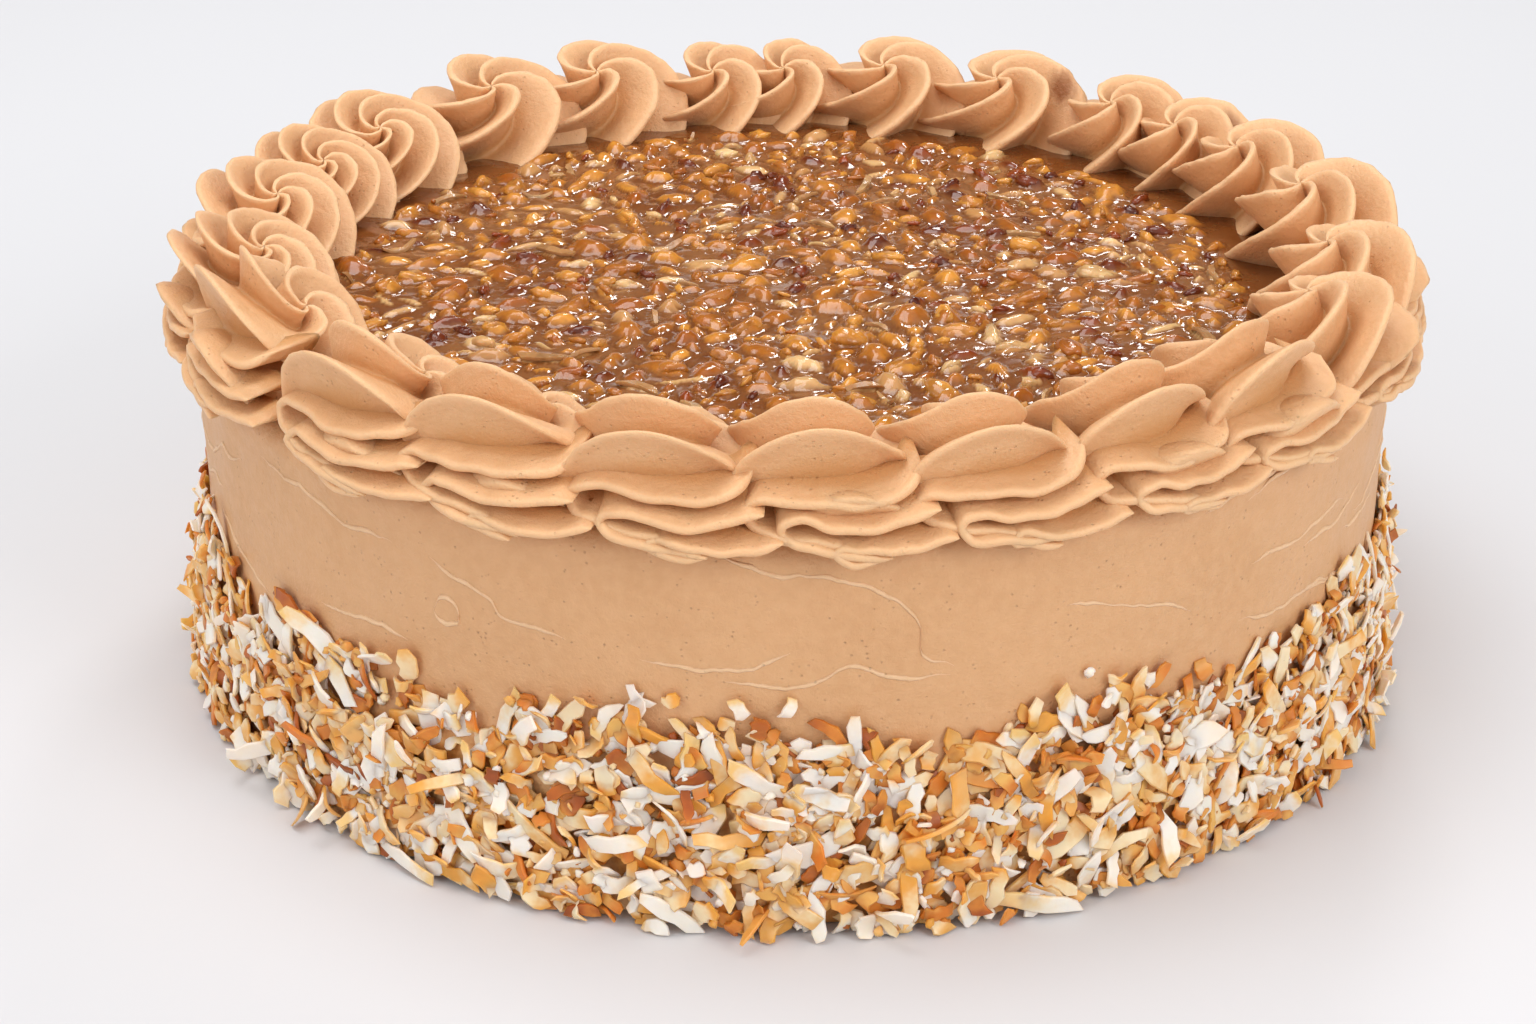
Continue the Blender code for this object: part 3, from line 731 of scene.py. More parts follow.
def flake_shapes(name, count, seed):
    """A collection of flat torn coconut flakes, one unit long, wide and thick."""
    shapes = bpy.data.collections.new(name)
    bpy.context.scene.collection.children.link(shapes)
    draw = random.Random(seed)
    rows = 6
    for k in range(count):
        points = []
        edges = []
        ends = []
        curve = draw.uniform(-0.4, 0.4)
        lift = draw.uniform(-1.8, 1.8)
        twist = draw.uniform(-0.35, 0.35)
        phases = draw.uniform(0, 6.3), draw.uniform(0, 6.3)
        slants = draw.uniform(-0.22, 0.22), draw.uniform(-0.22, 0.22)
        taper = [draw.uniform(0.0, 0.35), draw.uniform(0.0, 0.35)]
        if draw.random() < 0.3:
            taper[0] = draw.uniform(0.6, 0.85)
        for row in range(rows):
            along = row / (rows - 1) - 0.5
            near = max(0.0, (abs(along) - 0.28) / 0.22)
            tail = 0 if along < 0 else 1
            narrow = (1 - near * taper[tail]) * (0.86 + 0.14 * math.cos(along * 2.6))
            sides = [0.5 * narrow * (1 + 0.16 * math.sin(along * 13 + phase) + draw.uniform(-0.22, 0.16))
                     for phase in phases]
            middle_y = curve * (4 * along * along - 0.4)
            middle_z = lift * (4 * along * along - 0.4)
            thin = 0.5 * (1 - 0.3 * near)
            left, right = -sides[0], sides[1]
            for y, z, edge in ((left, 0.0, 1.0), (left * 0.84, -thin, 0.3), (right * 0.84, -thin, 0.3),
                               (right, 0.0, 1.0), (right * 0.84, thin, 0.3), (left * 0.84, thin, 0.3)):
                shear = near * slants[tail] * y
                points.append((along + shear + draw.uniform(-0.012, 0.012), middle_y + y,
                               middle_z + z + twist * along * y * 5.0))
                edges.append(min(1.0, edge + near * 0.6))
                ends.append(along + 0.5)
        faces = grid_faces(rows, 6)
        faces.append(tuple(reversed(range(6))))
        faces.append(tuple(range((rows - 1) * 6, rows * 6)))
        made = mesh_object("%s_%02d" % (name, k), np.array(points) / MM, faces, shapes)
        fill_attribute(made, "edge", edges)
        fill_attribute(made, "end", ends)
        outward(made)
        for edge in made.data.edges:
            first, second = edge.vertices
            same_end = first // 6 == second // 6 and first // 6 in (0, rows - 1)
            edge.use_edge_sharp = same_end or (first % 6 == second % 6 and first % 6 in (1, 2, 4, 5))
    return shapes


def lump_shapes(name, count, seed, faceted=0.2):
    """A collection of chopped lumps, one unit long, wide and thick."""
    shapes = bpy.data.collections.new(name)
    bpy.context.scene.collection.children.link(shapes)
    draw = random.Random(seed)
    for k in range(count):
        mesh = bmesh.new()
        bmesh.ops.create_icosphere(mesh, subdivisions=2, radius=0.5)
        planes = []
        for _ in range(4):
            away = Vector((draw.uniform(-1, 1), draw.uniform(-1, 1), draw.uniform(-0.4, 1))).normalized()
            planes.append((away, draw.uniform(0.26, 0.42)))
        shift = Vector((draw.uniform(0, 9), draw.uniform(0, 9), draw.uniform(0, 9)))
        points = []
        for vert in mesh.verts:
            spot = vert.co.copy()
            for away, limit in planes:
                over = spot.dot(away) - limit
                if over > 0:
                    spot -= away * over * 0.85
            dent = smooth_noise(np.array([tuple((vert.co * 3.4 + shift))]), seed)[0]
            spot *= 1 + faceted * dent
            points.append(tuple(spot))
        mesh.verts.index_update()
        faces = [tuple(v.index for v in face.verts) for face in mesh.faces]
        mesh.free()
        made = mesh_object("%s_%02d" % (name, k), np.array(points) / MM, faces, shapes)
        fill_attribute(made, "edge", [0.3] * len(points))
        fill_attribute(made, "end", [0.5] * len(points))
        outward(made)
    return shapes


def outward(made):
    """Turns every face outward and shades the mesh smooth."""
    mesh = bmesh.new()
    mesh.from_mesh(made.data)
    bmesh.ops.recalc_face_normals(mesh, faces=mesh.faces)
    mesh.to_mesh(made.data)
    mesh.free()
    made.data.shade_smooth()


def remove_shapes(shapes):
    """Removes a collection of source shapes after the bake."""
    for made in list(shapes.objects):
        bpy.data.objects.remove(made)
    bpy.data.collections.remove(shapes)


def rotation_of(axes):
    """Euler angles of a turn whose columns are the piece's long, cross and outward directions."""
    long_way, cross_way, out_way = axes
    pitch = math.asin(max(-1.0, min(1.0, -long_way[2])))
    yaw = math.atan2(long_way[1], long_way[0])
    roll = math.atan2(cross_way[2], out_way[2])
    return (roll, pitch, yaw)


def coconut_spots(count, seed, lengths, widths, thickness, variants, under=0.0):
    """Spots on the side of the cake for coconut flakes that lie flat at all angles, thickest at the foot."""
    draw = random.Random(seed)
    spots = []
    while len(spots) < count:
        angle = draw.uniform(0, 2 * math.pi)
        edge = float(coat_edge(np.array(angle))) + 5.0 * smooth_noise(
            np.array([[math.cos(angle) * 6, math.sin(angle) * 6, 0.5]]), 77)[0] + 2.0
        height = draw.uniform(0.8, edge + 9.0)
        keep = 1.0 if height < edge - 3.0 else max(0.0, 1 - (height - edge + 3.0) / 11.0) ** 2.2
        if draw.random() > keep:
            continue
        kind = draw.random()
        if kind < 0.62:
            share = draw.uniform(0.0, 0.30)
        elif kind < 0.92:
            share = draw.uniform(0.25, 0.60)
        else:
            share = draw.uniform(0.55, 1.0)
        length = lengths[0] + (lengths[1] - lengths[0]) * share
        width = min(draw.uniform(*widths), length * 0.9)
        thick = draw.uniform(*thickness)
        depth = max(0.22, 1 - height / (edge + 4.0))
        layer = max(0.0, draw.random() ** 0.8 - under) * (3.2 * depth + 0.2)
        out = np.array([math.cos(angle), math.sin(angle), 0.0])
        up = np.array([0.0, 0.0, 1.0])
        round_way = np.cross(up, out)
        slant = draw.uniform(-math.pi, math.pi)
        long_way = round_way * math.cos(slant) + up * math.sin(slant)
        loose = 2.2 if draw.random() < 0.14 else 1.0
        lift = math.radians(draw.gauss(0, (7 + 9 * depth) * loose))
        long_way = long_way * math.cos(lift) + out * math.sin(lift)
        cross_way = np.cross(out, long_way)
        cross_way /= np.linalg.norm(cross_way)
        out_way = np.cross(long_way, cross_way)
        roll = math.radians(draw.gauss(0, 15 * loose))
        cross_way, out_way = (cross_way * math.cos(roll) + out_way * math.sin(roll),
                              out_way * math.cos(roll) - cross_way * math.sin(roll))
        reach = length / 2 * abs(long_way[2])
        height = max(height, reach * 0.9 + 0.5)
        rest = CAKE_RADIUS + 0.6 + (1.4 if height < edge - 6 else 0.0)
        bulge = math.hypot(CAKE_RADIUS, length / 2 * math.cos(slant)) - CAKE_RADIUS
        surface = rest + layer + length / 2 * abs(math.sin(lift)) * 0.5 + bulge * 0.5
        spots.append((out * surface + up * height, rotation_of((long_way, cross_way, out_way)),
                      (length, width, thick), draw.randrange(variants)))
    return spots


def custard_plan(seed):
    """Where the chopped nuts and coconut lie in the custard, one dict a piece."""
    draw = random.Random(seed)
    plan = []
    by_cell = {}
    for tries in range(9000):
        radius = (CUSTARD_RADIUS - 2.4) * math.sqrt(draw.random())
        angle = draw.uniform(0, 2 * math.pi)
        x, y = radius * math.cos(angle), radius * math.sin(angle)
        kind = draw.random()
        length = draw.uniform(4.6, 9.6) if tries < 3200 else draw.uniform(2.6, 5.0)
        slender = draw.uniform(0.36, 0.74)
        name = "amber" if kind < 0.68 else "pale" if kind < 0.78 else "dark" if kind < 0.91 else "strip"
        if name == "strip":
            slender = draw.uniform(0.16, 0.28)
            length = max(length, 5.0)
        if name == "dark":
            length = min(length, 7.0)
        width = length * slender
        reach = 0.25 * (length + width)
        cell = (int(x // 8), int(y // 8))
        near = [row for i in (-1, 0, 1) for j in (-1, 0, 1)
                for row in by_cell.get((cell[0] + i, cell[1] + j), ())]
        if any(math.hypot(row["x"] - x, row["y"] - y) < row["reach"] + reach for row in near):
            continue
        row = {"x": x, "y": y, "length": length, "width": width, "turn": draw.uniform(0, math.pi),
               "kind": name, "reach": reach, "shade": draw.random(), "rise": draw.uniform(0.45, 1.2)}
        plan.append(row)
        by_cell.setdefault(cell, []).append(row)
    return plan


def custard_surface(x, y, plan):
    """Height of the custard's surface, drawn up over each nut, how much of each kind shows through, and a
    ring of deeper syrup and painted shade in the groove round each nut.
    """
    place = np.stack([x, y, np.zeros_like(x)], -1)
    height = 0.45 * smooth_noise(place / 16.0, 31) + 0.22 * smooth_noise(place / 6.0, 32)
    height = height + 0.07 * smooth_noise(place / 2.4, 33)
    ragged = 0.34 * smooth_noise(place / 1.9, 34) + 0.18 * smooth_noise(place / 0.9, 35)
    rise = np.zeros_like(x)
    shows = {"amber": np.zeros_like(x), "pale": np.zeros_like(x), "dark": np.zeros_like(x)}
    shade = np.full_like(x, 0.5)
    groove_syrup_and_shade = np.zeros_like(x)
    for row in plan:
        reach = row["length"] * 0.5 + 1.6
        near = np.nonzero((np.abs(x - row["x"]) < reach) & (np.abs(y - row["y"]) < reach))
        if not len(near[0]):
            continue
        cosine, sine = math.cos(row["turn"]), math.sin(row["turn"])
        east, north = x[near] - row["x"], y[near] - row["y"]
        first = (east * cosine + north * sine) / (row["length"] / 2)
        second = (north * cosine - east * sine) / (row["width"] / 2)
        away = np.sqrt(first ** 2 + second ** 2) * (1 + ragged[near])
        dome = np.clip((1.22 - away) / 0.95, 0, 1)
        dome = dome * dome * (3 - 2 * dome)
        tall = (0.42 + 0.25 * row["width"]) * row["rise"]
        groove = np.exp(-((away - 1.34) / 0.16) ** 2)
        rise[near] = np.maximum(rise[near], tall * dome) - 0.30 * groove
        # A ring of deeper syrup and painted shade in the groove round each nut.
        groove_syrup_and_shade[near] = np.maximum(groove_syrup_and_shade[near], np.exp(-((away - 1.24) / 0.24) ** 2))
        cover = np.clip((1.06 - away) / 0.30, 0, 1)
        kind = "pale" if row["kind"] == "strip" else row["kind"]
        taken = cover > 0.02
        for name, values in shows.items():
            covered = cover * 0.92 if name == kind else values[near] * (1 - cover)
            values[near] = np.where(taken, covered, values[near])
        shade[near] = np.where(taken, row["shade"], shade[near])
    distance = np.hypot(x, y)
    level = CUSTARD_TOP - 0.95 + height + rise
    fall = np.clip((CUSTARD_SPREAD - distance) / (CUSTARD_SPREAD - CUSTARD_RADIUS), 0.02, 1) ** 0.5
    return CUSTARD_BOTTOM + (level - CUSTARD_BOTTOM) * fall, shows, shade, groove_syrup_and_shade


class CakeSizes(bpy.types.PropertyGroup):
    """Sizes and counts that set the form of the coat and the border."""

    swirl_height: bpy.props.FloatProperty(
        name="Swirl height", description="Height of the piped swirls against the usual height",
        default=1.0, min=0.5, max=1.5, subtype="FACTOR")
    coconut_count: bpy.props.IntProperty(
        name="Coconut flakes", description="How many flakes of coconut cling to the side",
        default=5400, min=100)
    flake_length: bpy.props.FloatProperty(
        name="Flake length", description="Length of the longest flakes of coconut", default=0.015,
        min=0.004, max=0.03, unit="LENGTH")


class CakeColours(bpy.types.PropertyGroup):
    """Colours of the cake's parts."""

    buttercream: bpy.props.FloatVectorProperty(
        name="Buttercream", description="Chocolate buttercream of the side and the border",
        subtype="COLOR", size=3, min=0, max=1, default=(0.64, 0.356, 0.172))
    custard: bpy.props.FloatVectorProperty(
        name="Custard", description="Cooked custard between the nuts",
        subtype="COLOR", size=3, min=0, max=1, default=(0.27, 0.105, 0.034))
    coconut: bpy.props.FloatVectorProperty(
        name="Coconut", description="Untoasted coconut",
        subtype="COLOR", size=3, min=0, max=1, default=(0.97, 0.85, 0.71))


class CAKE_OT_ice_side(bpy.types.Operator):
    """Ices the cake's side and top with buttercream"""

    bl_idname = "cake.ice_side"
    bl_label = "Ice the side"

    def execute(self, context):
        levels = [(0.0, 0.0), (CAKE_RADIUS - 0.5, 0.0)]
        levels += [(CAKE_RADIUS, z) for z in np.arange(0.8, CAKE_HEIGHT - TOP_EDGE_ROUND, SIDE_STEP)]
        for k in range(7):
            angle = math.pi / 2 * k / 6
            levels.append((CAKE_RADIUS - TOP_EDGE_ROUND * (1 - math.cos(angle)),
                           CAKE_HEIGHT - TOP_EDGE_ROUND * (1 - math.sin(angle))))
        levels += [(96.0, CAKE_HEIGHT), (80.0, CAKE_HEIGHT)]
        levels = np.array(levels[1:])
        angle = np.arange(SIDE_COLUMNS) * 2 * math.pi / SIDE_COLUMNS
        radius = np.repeat(levels[:, :1], SIDE_COLUMNS, 1)
        height = np.repeat(levels[:, 1:], SIDE_COLUMNS, 1)
        turn = np.repeat(angle[None, :], len(levels), 0)
        wave = side_wave(turn, height)
        coat = np.clip((coat_edge(turn) - 2.0 - height) / 7.0, 0, 1)
        coat = coat * coat * (3 - 2 * coat)
        lumps = np.stack([np.cos(turn) * 38, np.sin(turn) * 38, height / 3.0], -1)
        wave = wave + coat * (COAT_RADIUS - CAKE_RADIUS + 0.5 * smooth_noise(lumps, 7))
        side = np.clip((radius - 100.0) / 8.0, 0, 1) * np.clip(height / 1.0, 0, 1)
        radius = radius + wave * side
        points = np.stack([radius * np.cos(turn), radius * np.sin(turn), height], -1).reshape(-1, 3)
        faces = grid_faces(len(levels), SIDE_COLUMNS)
        points = np.concatenate([points, [[0, 0, 0], [0, 0, CAKE_HEIGHT]]])
        foot, top = len(points) - 2, len(points) - 1
        last = (len(levels) - 1) * SIDE_COLUMNS
        for k in range(SIDE_COLUMNS):
            after = (k + 1) % SIDE_COLUMNS
            faces.append((foot, after, k))
            faces.append((top, last + k, last + after))
        made = mesh_object("iced_side", points, faces)
        made.data.shade_smooth()
        fill_attribute(made, "crumbed", np.append(coat.ravel(), [0, 0]))
        colours = context.scene.cake_colours
        cream = buttercream("side_buttercream", colours.buttercream, crumbed=True)
        finish_piece(made, ["cake"], cream)
        self.lips(colours)
        return {"FINISHED"}

    def lips(self, colours):
        points = []
        faces = []
        for index, path in enumerate(lip_paths(19)):
            turned = [(math.radians(azimuth) * CAKE_RADIUS, level, 0.0) for azimuth, level in path]
            steps = int(3 + 1.6 * sum(math.dist(a, b) for a, b in zip(turned, turned[1:])))
            line = curve_through(turned, steps)
            waver = 0.5 * smooth_noise(line / 4.0, 40 + index) + 0.2 * smooth_noise(line / 1.3, 80 + index)
            line[:, 1] += waver
            share = np.linspace(0, 1, steps)
            size = np.clip(np.minimum(share, 1 - share) / 0.15, 0.12, 1)
            size = size * (0.75 + 0.5 * smooth_noise(line / 5.0, 120 + index))
            start = len(points)
            for (along, level, _), big in zip(line, size):
                for shift, height in ((-0.6, -0.3), (-0.24, 0.7), (0.0, 1.0), (0.30, 0.6), (0.70, -0.3)):
                    azimuth = along / CAKE_RADIUS
                    z = level + shift * LIP_WIDTH * big
                    wave = float(side_wave(np.array(azimuth - math.pi / 2), np.array(z)))
                    radius = CAKE_RADIUS + wave + height * LIP_HEIGHT * big
                    points.append((radius * math.sin(azimuth), -radius * math.cos(azimuth), z))
            faces += grid_faces(steps, 5, start)
            faces.append(tuple(reversed(range(start, start + 5))))
            faces.append(tuple(range(start + (steps - 1) * 5, start + steps * 5)))
        made = mesh_object("knife_lips", points, faces)
        outward(made)
        # The lips are coloured paler than the side: a painted highlight for the light that they catch.
        paler = tuple(min(1.0, c * k) for c, k in zip(colours.buttercream, (1.22, 1.36, 1.60)))
        finish_piece(made, [], buttercream("lip_buttercream_painted_highlight", paler))


class CAKE_OT_fill_top(bpy.types.Operator):
    """Fills the top with custard and its chopped nuts and coconut"""

    bl_idname = "cake.fill_top"
    bl_label = "Fill the top"

    def execute(self, context):
        colours = context.scene.cake_colours
        plan = custard_plan(41)
        self.custard(plan, colours)
        self.nuts(plan)
        return {"FINISHED"}

    def custard(self, plan, colours):
        cells = CUSTARD_CELLS
        line = np.linspace(-1, 1, cells + 1)
        first, second = np.meshgrid(line, line, indexing="ij")
        wide = np.abs(first) >= np.abs(second)
        with np.errstate(divide="ignore", invalid="ignore"):
            ratio = np.where(wide, second / np.where(first == 0, 1, first),
                             first / np.where(second == 0, 1, second))
        radius = np.where(wide, first, second)
        turn = ratio * math.pi / 4
        x = CUSTARD_SPREAD * np.where(wide, radius * np.cos(turn), radius * np.sin(turn))
        y = CUSTARD_SPREAD * np.where(wide, radius * np.sin(turn), radius * np.cos(turn))
        z, shows, shade, groove_syrup_and_shade = custard_surface(x, y, plan)
        points = np.stack([x, y, z], -1).reshape(-1, 3)
        size = cells + 1
        faces = grid_faces(size, size, closed=False)
        rim = [k * size for k in range(size)]
        rim += [(size - 1) * size + k for k in range(1, size)]
        rim += [k * size + size - 1 for k in range(size - 2, -1, -1)]
        rim += [k for k in range(size - 2, 0, -1)]
        foot = len(points) + np.arange(len(rim))
        low = points[rim].copy()
        low[:, 2] = CUSTARD_BOTTOM - 0.2
        points = np.concatenate([points, low])
        for k in range(len(rim)):
            after = (k + 1) % len(rim)
            faces.append((rim[k], rim[after], int(foot[after]), int(foot[k])))
        faces.append(tuple(int(v) for v in foot))
        made = mesh_object("custard", points, faces)
        outward(made)
        distance = np.hypot(points[:, 0], points[:, 1])
        ground = smooth_noise(points / 9.0, 91)
        empty = np.zeros(len(rim))
        # The custard is darker towards its rim.
        darker_towards_rim = np.clip((distance - 77.0 + 7.0 * ground) / 9.0, 0, 1) * 0.7
        uneven = np.clip(0.55 + 0.9 * smooth_noise(points / 5.0, 92), 0, 0.9)
        # Deeper syrup and painted shade in the grooves round the nuts.
        uneven_groove_syrup_and_shade = np.concatenate([groove_syrup_and_shade.ravel(), empty]) * uneven
        fill_attribute(made, "syrup", np.maximum(darker_towards_rim, uneven_groove_syrup_and_shade))
        for name, values in shows.items():
            fill_attribute(made, name, np.concatenate([values.ravel(), empty]))
        fill_attribute(made, "lump_shade", np.concatenate([shade.ravel(), empty]))
        finish_piece(made, ["topping"], custard_finish("custard_glaze", colours.custard))

    def nuts(self, plan):
        draw = random.Random(52)
        tree = pieces_on_spots("Pieces on spots")
        lumps = lump_shapes("nut_shape", 16, 61, 0.34)
        strips = flake_shapes("strip_shape", 8, 63)
        kinds = {"amber": [], "pale": [], "dark": [], "strip": []}
        spots_x = np.array([row["x"] for row in plan])
        spots_y = np.array([row["y"] for row in plan])
        levels = custard_surface(spots_x, spots_y, [])[0]
        for row, height in zip(plan, levels):
            kind, length, width = row["kind"], row["length"], row["width"]
            bare = {"amber": 0.35, "pale": 0.30, "dark": 0.60, "strip": 0.25}[kind]
            if draw.random() > bare:
                continue
            tall = (0.42 + 0.25 * width) * row["rise"]
            roll, tip = draw.gauss(0, 0.25), draw.gauss(0, 0.12)
            if kind == "strip":
                size = (length * 0.98, width * 0.95, 0.8)
                spot = (row["x"], row["y"], height + tall - 0.1)
                kinds[kind].append((spot, (roll, tip * 0.5, row["turn"]), size, draw.randrange(8)))
                continue
            thick = min(3.2, width * 0.8)
            spot = (row["x"], row["y"], height + tall * 0.85 + 0.35 - thick * 0.36)
            size = (length * 0.96, width * 0.96, thick)
            kinds[kind].append((spot, (roll, tip, row["turn"]), size, draw.randrange(16)))
        finishes = {
            "amber": nut_finish("amber_nut", (0.74, 0.33, 0.05), (0.36, 0.095, 0.010)),
            "pale": nut_finish("pale_nut", (0.80, 0.52, 0.24), (0.56, 0.27, 0.085)),
            "dark": nut_finish("dark_nut", (0.29, 0.052, 0.006), (0.100, 0.014, 0.003)),
            "strip": nut_finish("soaked_coconut", (0.62, 0.37, 0.17), (0.42, 0.20, 0.07), 0.2),
        }
        names = {"amber": "nut_amber", "pale": "nut_pale", "dark": "nut_dark", "strip": "custard_coconut"}
        for seed, (kind, spots) in enumerate(kinds.items()):
            shapes = strips if kind == "strip" else lumps
            made = scatter(names[kind], spots, shapes, tree, finishes[kind], 70 + seed)
            finish_piece(made, [])
        remove_shapes(lumps)
        remove_shapes(strips)


class CAKE_OT_pipe_border(bpy.types.Operator):
    """Pipes the ring of buttercream swirls"""

    bl_idname = "cake.pipe_border"
    bl_label = "Pipe the border"

    def execute(self, context):
        colours = context.scene.cake_colours
        # The border's buttercream is a paler copy of the side's: painted light for the brighter light on the
        # border.
        paler = tuple(min(1.0, c * k) for c, k in zip(colours.buttercream, (1.12, 1.16, 1.20)))
        cream = buttercream("border_buttercream_painted_light", paler, piped=True)
        for index, tip in enumerate(TIP_AZIMUTHS):
            variation = swirl_variation(index)
            variation["height"] *= context.scene.cake_sizes.swirl_height
            azimuth = math.radians(tip + TIP_TO_CENTRE)
            rows, crest = swirl_points(variation, index)
            grids = [(arched(rows, variation), place_on_ring)]
            crests = [np.broadcast_to(crest, rows.shape[:2]).ravel()]
            across = [out for out, _ in FOLD_ACROSS] + [out for out, _ in FOLD_ACROSS[:0:-1]]
            for kind, fold in enumerate(FOLDS):
                rows = fold_points(fold, variation, index * 10 + kind + 1)
                rows = rows * np.array([variation["length"], 1.0, 1.0])
                grids.append((rows, place_round_ring))
                crests.append(np.tile(np.clip((np.array(across) - 0.35) / 0.65, 0, 1), FOLD_STEPS))
            points = []
            faces = []
            for rows, place in grids:
                steps, around = rows.shape[:2]
                start = len(points)
                points.extend(place(rows.reshape(-1, 3), azimuth).tolist())
                faces += grid_faces(steps, around, start)
                faces.append(tuple(reversed(range(start, start + around))))
                faces.append(tuple(range(start + (steps - 1) * around, start + steps * around)))
            made = mesh_object("piped_swirl_%02d" % (index + 1), points, faces)
            outward(made)
            fill_attribute(made, "stain", stain_share(np.array(points)))
            # The crest attribute carries the painted shade in the valleys and the painted light on the crests
            # and fold edges.
            fill_attribute(made, "crest", np.concatenate(crests))
            finish_piece(made, ["swirl_%02d" % (index + 1)], cream)
        return {"FINISHED"}


class CAKE_OT_coat_side(bpy.types.Operator):
    """Presses shredded coconut onto the side"""

    bl_idname = "cake.coat_side"
    bl_label = "Coat the side"

    def execute(self, context):
        sizes = context.scene.cake_sizes
        white = tuple(context.scene.cake_colours.coconut)
        longest = sizes.flake_length / MM
        tree = pieces_on_spots("Flakes on spots")
        flakes = flake_shapes("flake_shape", 20, 81)
        crumbs = lump_shapes("crumb_shape", 6, 82, 0.4)
        kinds = (
            ("coconut_white", 0.32, 0.0, white, (0.92, 0.52, 0.18), (0.84, 1.16)),
            ("coconut_cream", 0.28, 0.0, (0.95, 0.70, 0.43), (0.84, 0.33, 0.05), (0.62, 0.98)),
            ("coconut_golden", 0.28, 0.10, (0.88, 0.44, 0.12), (0.66, 0.18, 0.020), (0.56, 1.00)),
            ("coconut_brown", 0.12, 0.18, (0.72, 0.26, 0.040), (0.34, 0.075, 0.010), (0.48, 0.92)),
        )
        for seed, (name, share, under, pale, toast, span) in enumerate(kinds):
            finish = coconut_finish(name, pale, toast, *span)
            count = int(sizes.coconut_count * share)
            small = 0.7 if name in ("coconut_golden", "coconut_brown") else 1.0
            spots = coconut_spots(count, 200 + seed, (2.6, longest * small), (1.9, 4.3 * (0.4 + 0.6 * small)),
                                  (0.45, 0.75), 20, under)
            made = scatter(name, spots, flakes, tree, finish, 90 + seed)
            finish_piece(made, [])
            spots = coconut_spots(int(count * 0.22), 300 + seed, (1.4, 3.2), (1.2, 2.4), (0.8, 1.6), 6, under)
            made = scatter(name + "_crumbs", spots, crumbs, tree, finish, 95 + seed)
            finish_piece(made, [])
        remove_shapes(flakes)
        remove_shapes(crumbs)
        return {"FINISHED"}


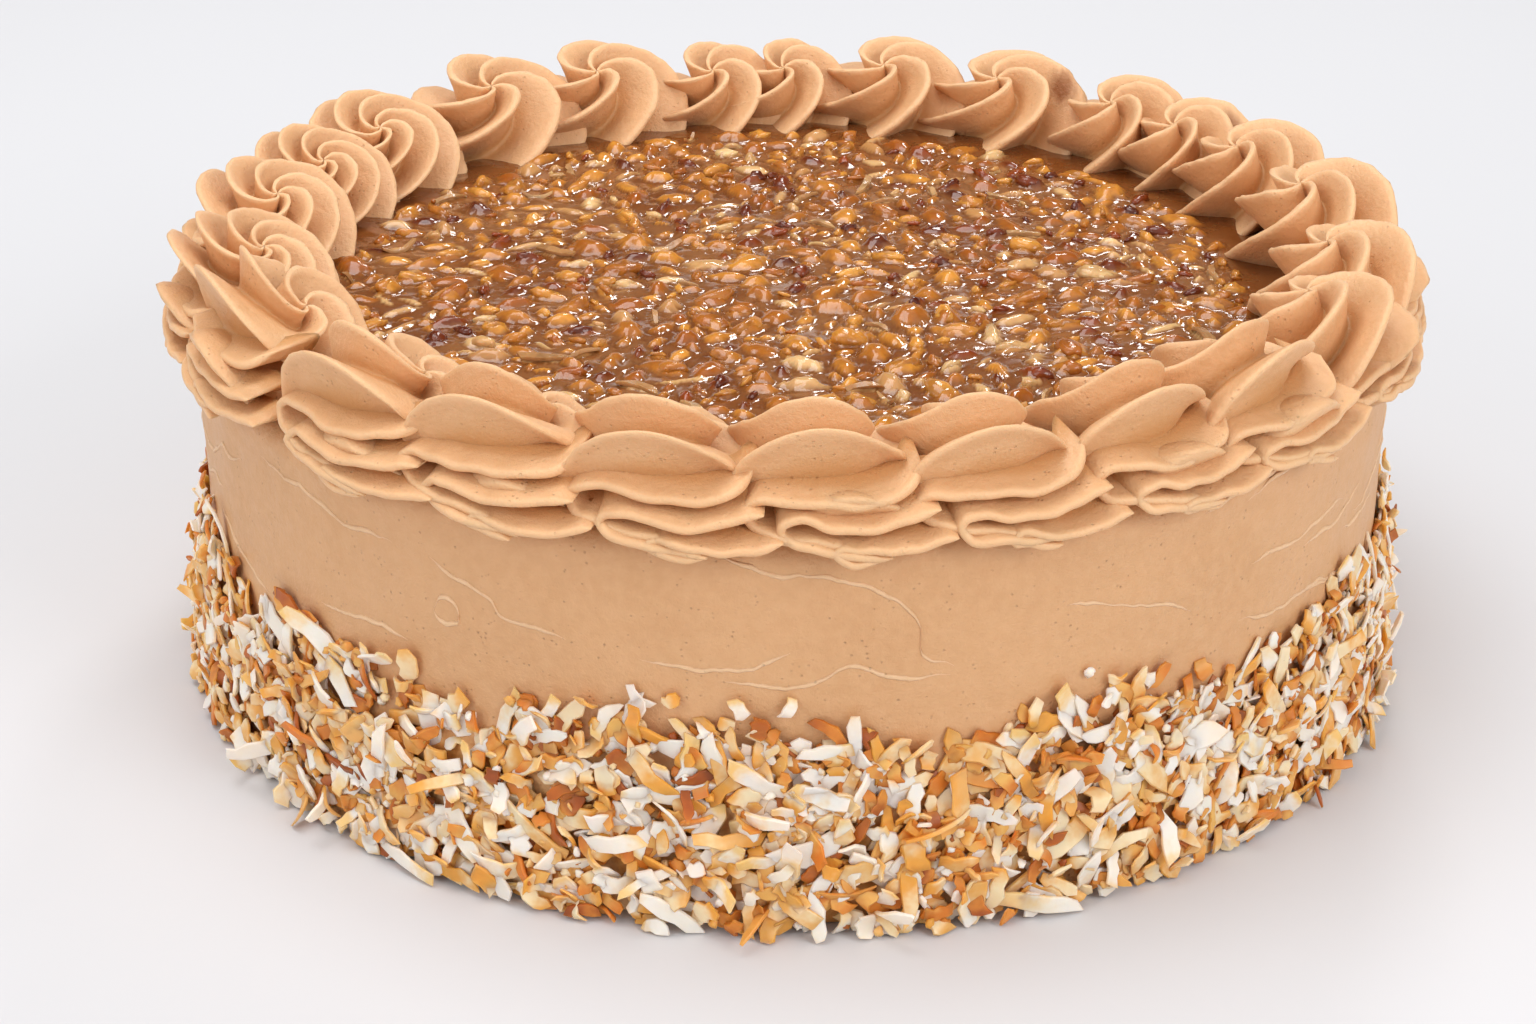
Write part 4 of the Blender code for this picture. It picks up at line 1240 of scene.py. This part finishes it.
class CAKE_OT_set_stage(bpy.types.Operator):
    """Sets the floor, the soft lights and the camera"""

    bl_idname = "cake.set_stage"
    bl_label = "Set the stage"

    def execute(self, context):
        self.floor()
        self.light("overhead_softbox", (-0.25, 0.10, 1.2), 0.8, 7.5)
        self.light("back_softbox", (0.25, 1.15, 1.15), 0.3, 4.5)
        self.light("left_softbox", (-1.15, -1.0, 0.75), 0.9, 5.5)
        self.light("right_softbox", (1.1, -1.0, 0.85), 0.8, 10.5)
        world = bpy.data.worlds.new("studio")
        context.scene.world = world
        world.use_nodes = True
        self.dim_backdrop(world.node_tree, 0.78)
        self.camera(context)
        context.scene.view_settings.view_transform = "Standard"
        return {"FINISHED"}

    def dim_backdrop(self, tree, strength):
        """Makes the room even and bright but for a dimmer band behind the cake, which the glaze mirrors."""
        nodes, links = tree.nodes, tree.links
        ways = nodes.new("ShaderNodeSeparateXYZ")
        links.new(nodes.new("ShaderNodeTexCoord").outputs["Generated"], ways.inputs["Vector"])
        share = 1.0
        limits = (("Y", -0.10, 0.50, 0.0, 1.0), ("Z", 0.20, 0.34, 0.0, 1.0), ("Z", 0.70, 0.95, 1.0, 0.0))
        for axis, low, high, first, last in limits:
            span = nodes.new("ShaderNodeMapRange")
            span.interpolation_type = "SMOOTHSTEP"
            links.new(ways.outputs[axis], span.inputs["Value"])
            for name, value in (("From Min", low), ("From Max", high), ("To Min", first), ("To Max", last)):
                span.inputs[name].default_value = value
            product = nodes.new("ShaderNodeMath")
            product.operation = "MULTIPLY"
            links.new(span.outputs["Result"], product.inputs[0])
            if share == 1.0:
                product.inputs[1].default_value = share
            else:
                links.new(share, product.inputs[1])
            share = product.outputs["Value"]
        tone = nodes.new("ShaderNodeMix")
        tone.data_type = "RGBA"
        links.new(share, tone.inputs[0])
        tone.inputs[6].default_value = (1.0, 0.99, 0.98, 1.0)
        tone.inputs[7].default_value = (0.15, 0.12, 0.10, 1.0)
        back = nodes["Background"]
        links.new(tone.outputs[2], back.inputs["Color"])
        back.inputs["Strength"].default_value = strength

    def floor(self):
        half = 4000.0
        corners = [(-half, -half, 0), (half, -half, 0), (half, half, 0), (-half, half, 0)]
        floor = mesh_object("floor", corners, [(0, 1, 2, 3)])
        finish = Finish("pale_floor")
        tone = finish.mix(finish.noise(6, 2.0), (0.655, 0.660, 0.685), (0.667, 0.672, 0.697))
        finish.set(Base_Color=tone, Roughness=0.7, Specular_IOR_Level=0.2)
        floor.data.materials.append(finish.material)

    def light(self, name, place, size, power):
        lamp = bpy.data.lights.new(name, "AREA")
        lamp.shape = "SQUARE"
        lamp.size = size
        lamp.energy = power
        made = bpy.data.objects.new(name, lamp)
        bpy.context.scene.collection.objects.link(made)
        made.location = place
        aim = Vector((0, 0, 0.05)) - Vector(place)
        made.rotation_euler = aim.to_track_quat("-Z", "Y").to_euler()

    def camera(self, context):
        lens = bpy.data.cameras.new("camera")
        lens.lens = FOCAL_LENGTH
        lens.sensor_width = 36.0
        made = bpy.data.objects.new("camera", lens)
        context.scene.collection.objects.link(made)
        pitch, yaw, roll = (math.radians(v) for v in (CAMERA_PITCH, CAMERA_YAW, CAMERA_ROLL))
        ahead = Vector((math.sin(yaw) * math.cos(pitch), math.cos(yaw) * math.cos(pitch), -math.sin(pitch)))
        right = Vector((math.cos(yaw), -math.sin(yaw), 0))
        up = right.cross(ahead)
        tilted = math.cos(roll) * right + math.sin(roll) * up
        up = tilted.cross(ahead)
        made.matrix_world = Matrix((
            (tilted.x, up.x, -ahead.x, CAMERA_AT[0]),
            (tilted.y, up.y, -ahead.y, CAMERA_AT[1]),
            (tilted.z, up.z, -ahead.z, CAMERA_AT[2]),
            (0, 0, 0, 1),
        ))
        context.scene.camera = made


STEPS = (CAKE_OT_ice_side, CAKE_OT_fill_top, CAKE_OT_pipe_border, CAKE_OT_coat_side, CAKE_OT_set_stage)


class CAKE_PT_builder(bpy.types.Panel):
    """Lists the steps of making the cake, with its sizes and colours"""

    bl_label = "Layer cake"
    bl_idname = "CAKE_PT_builder"
    bl_space_type = "VIEW_3D"
    bl_region_type = "UI"
    bl_category = "Cake"

    def draw(self, context):
        column = self.layout.column()
        for group in (context.scene.cake_sizes, context.scene.cake_colours):
            for name in group.__annotations__:
                column.prop(group, name)
        for step in STEPS:
            column.operator(step.bl_idname)


CLASSES = (CakeSizes, CakeColours, *STEPS, CAKE_PT_builder)


def register():
    for made in CLASSES:
        bpy.utils.register_class(made)
    bpy.types.Scene.cake_sizes = bpy.props.PointerProperty(type=CakeSizes)
    bpy.types.Scene.cake_colours = bpy.props.PointerProperty(type=CakeColours)


def unregister():
    del bpy.types.Scene.cake_colours
    del bpy.types.Scene.cake_sizes
    for made in reversed(CLASSES):
        bpy.utils.unregister_class(made)


def main():
    register()
    bpy.ops.cake.ice_side()
    bpy.ops.cake.fill_top()
    bpy.ops.cake.pipe_border()
    bpy.ops.cake.coat_side()
    bpy.ops.cake.set_stage()


if __name__ == "__main__":
    main()
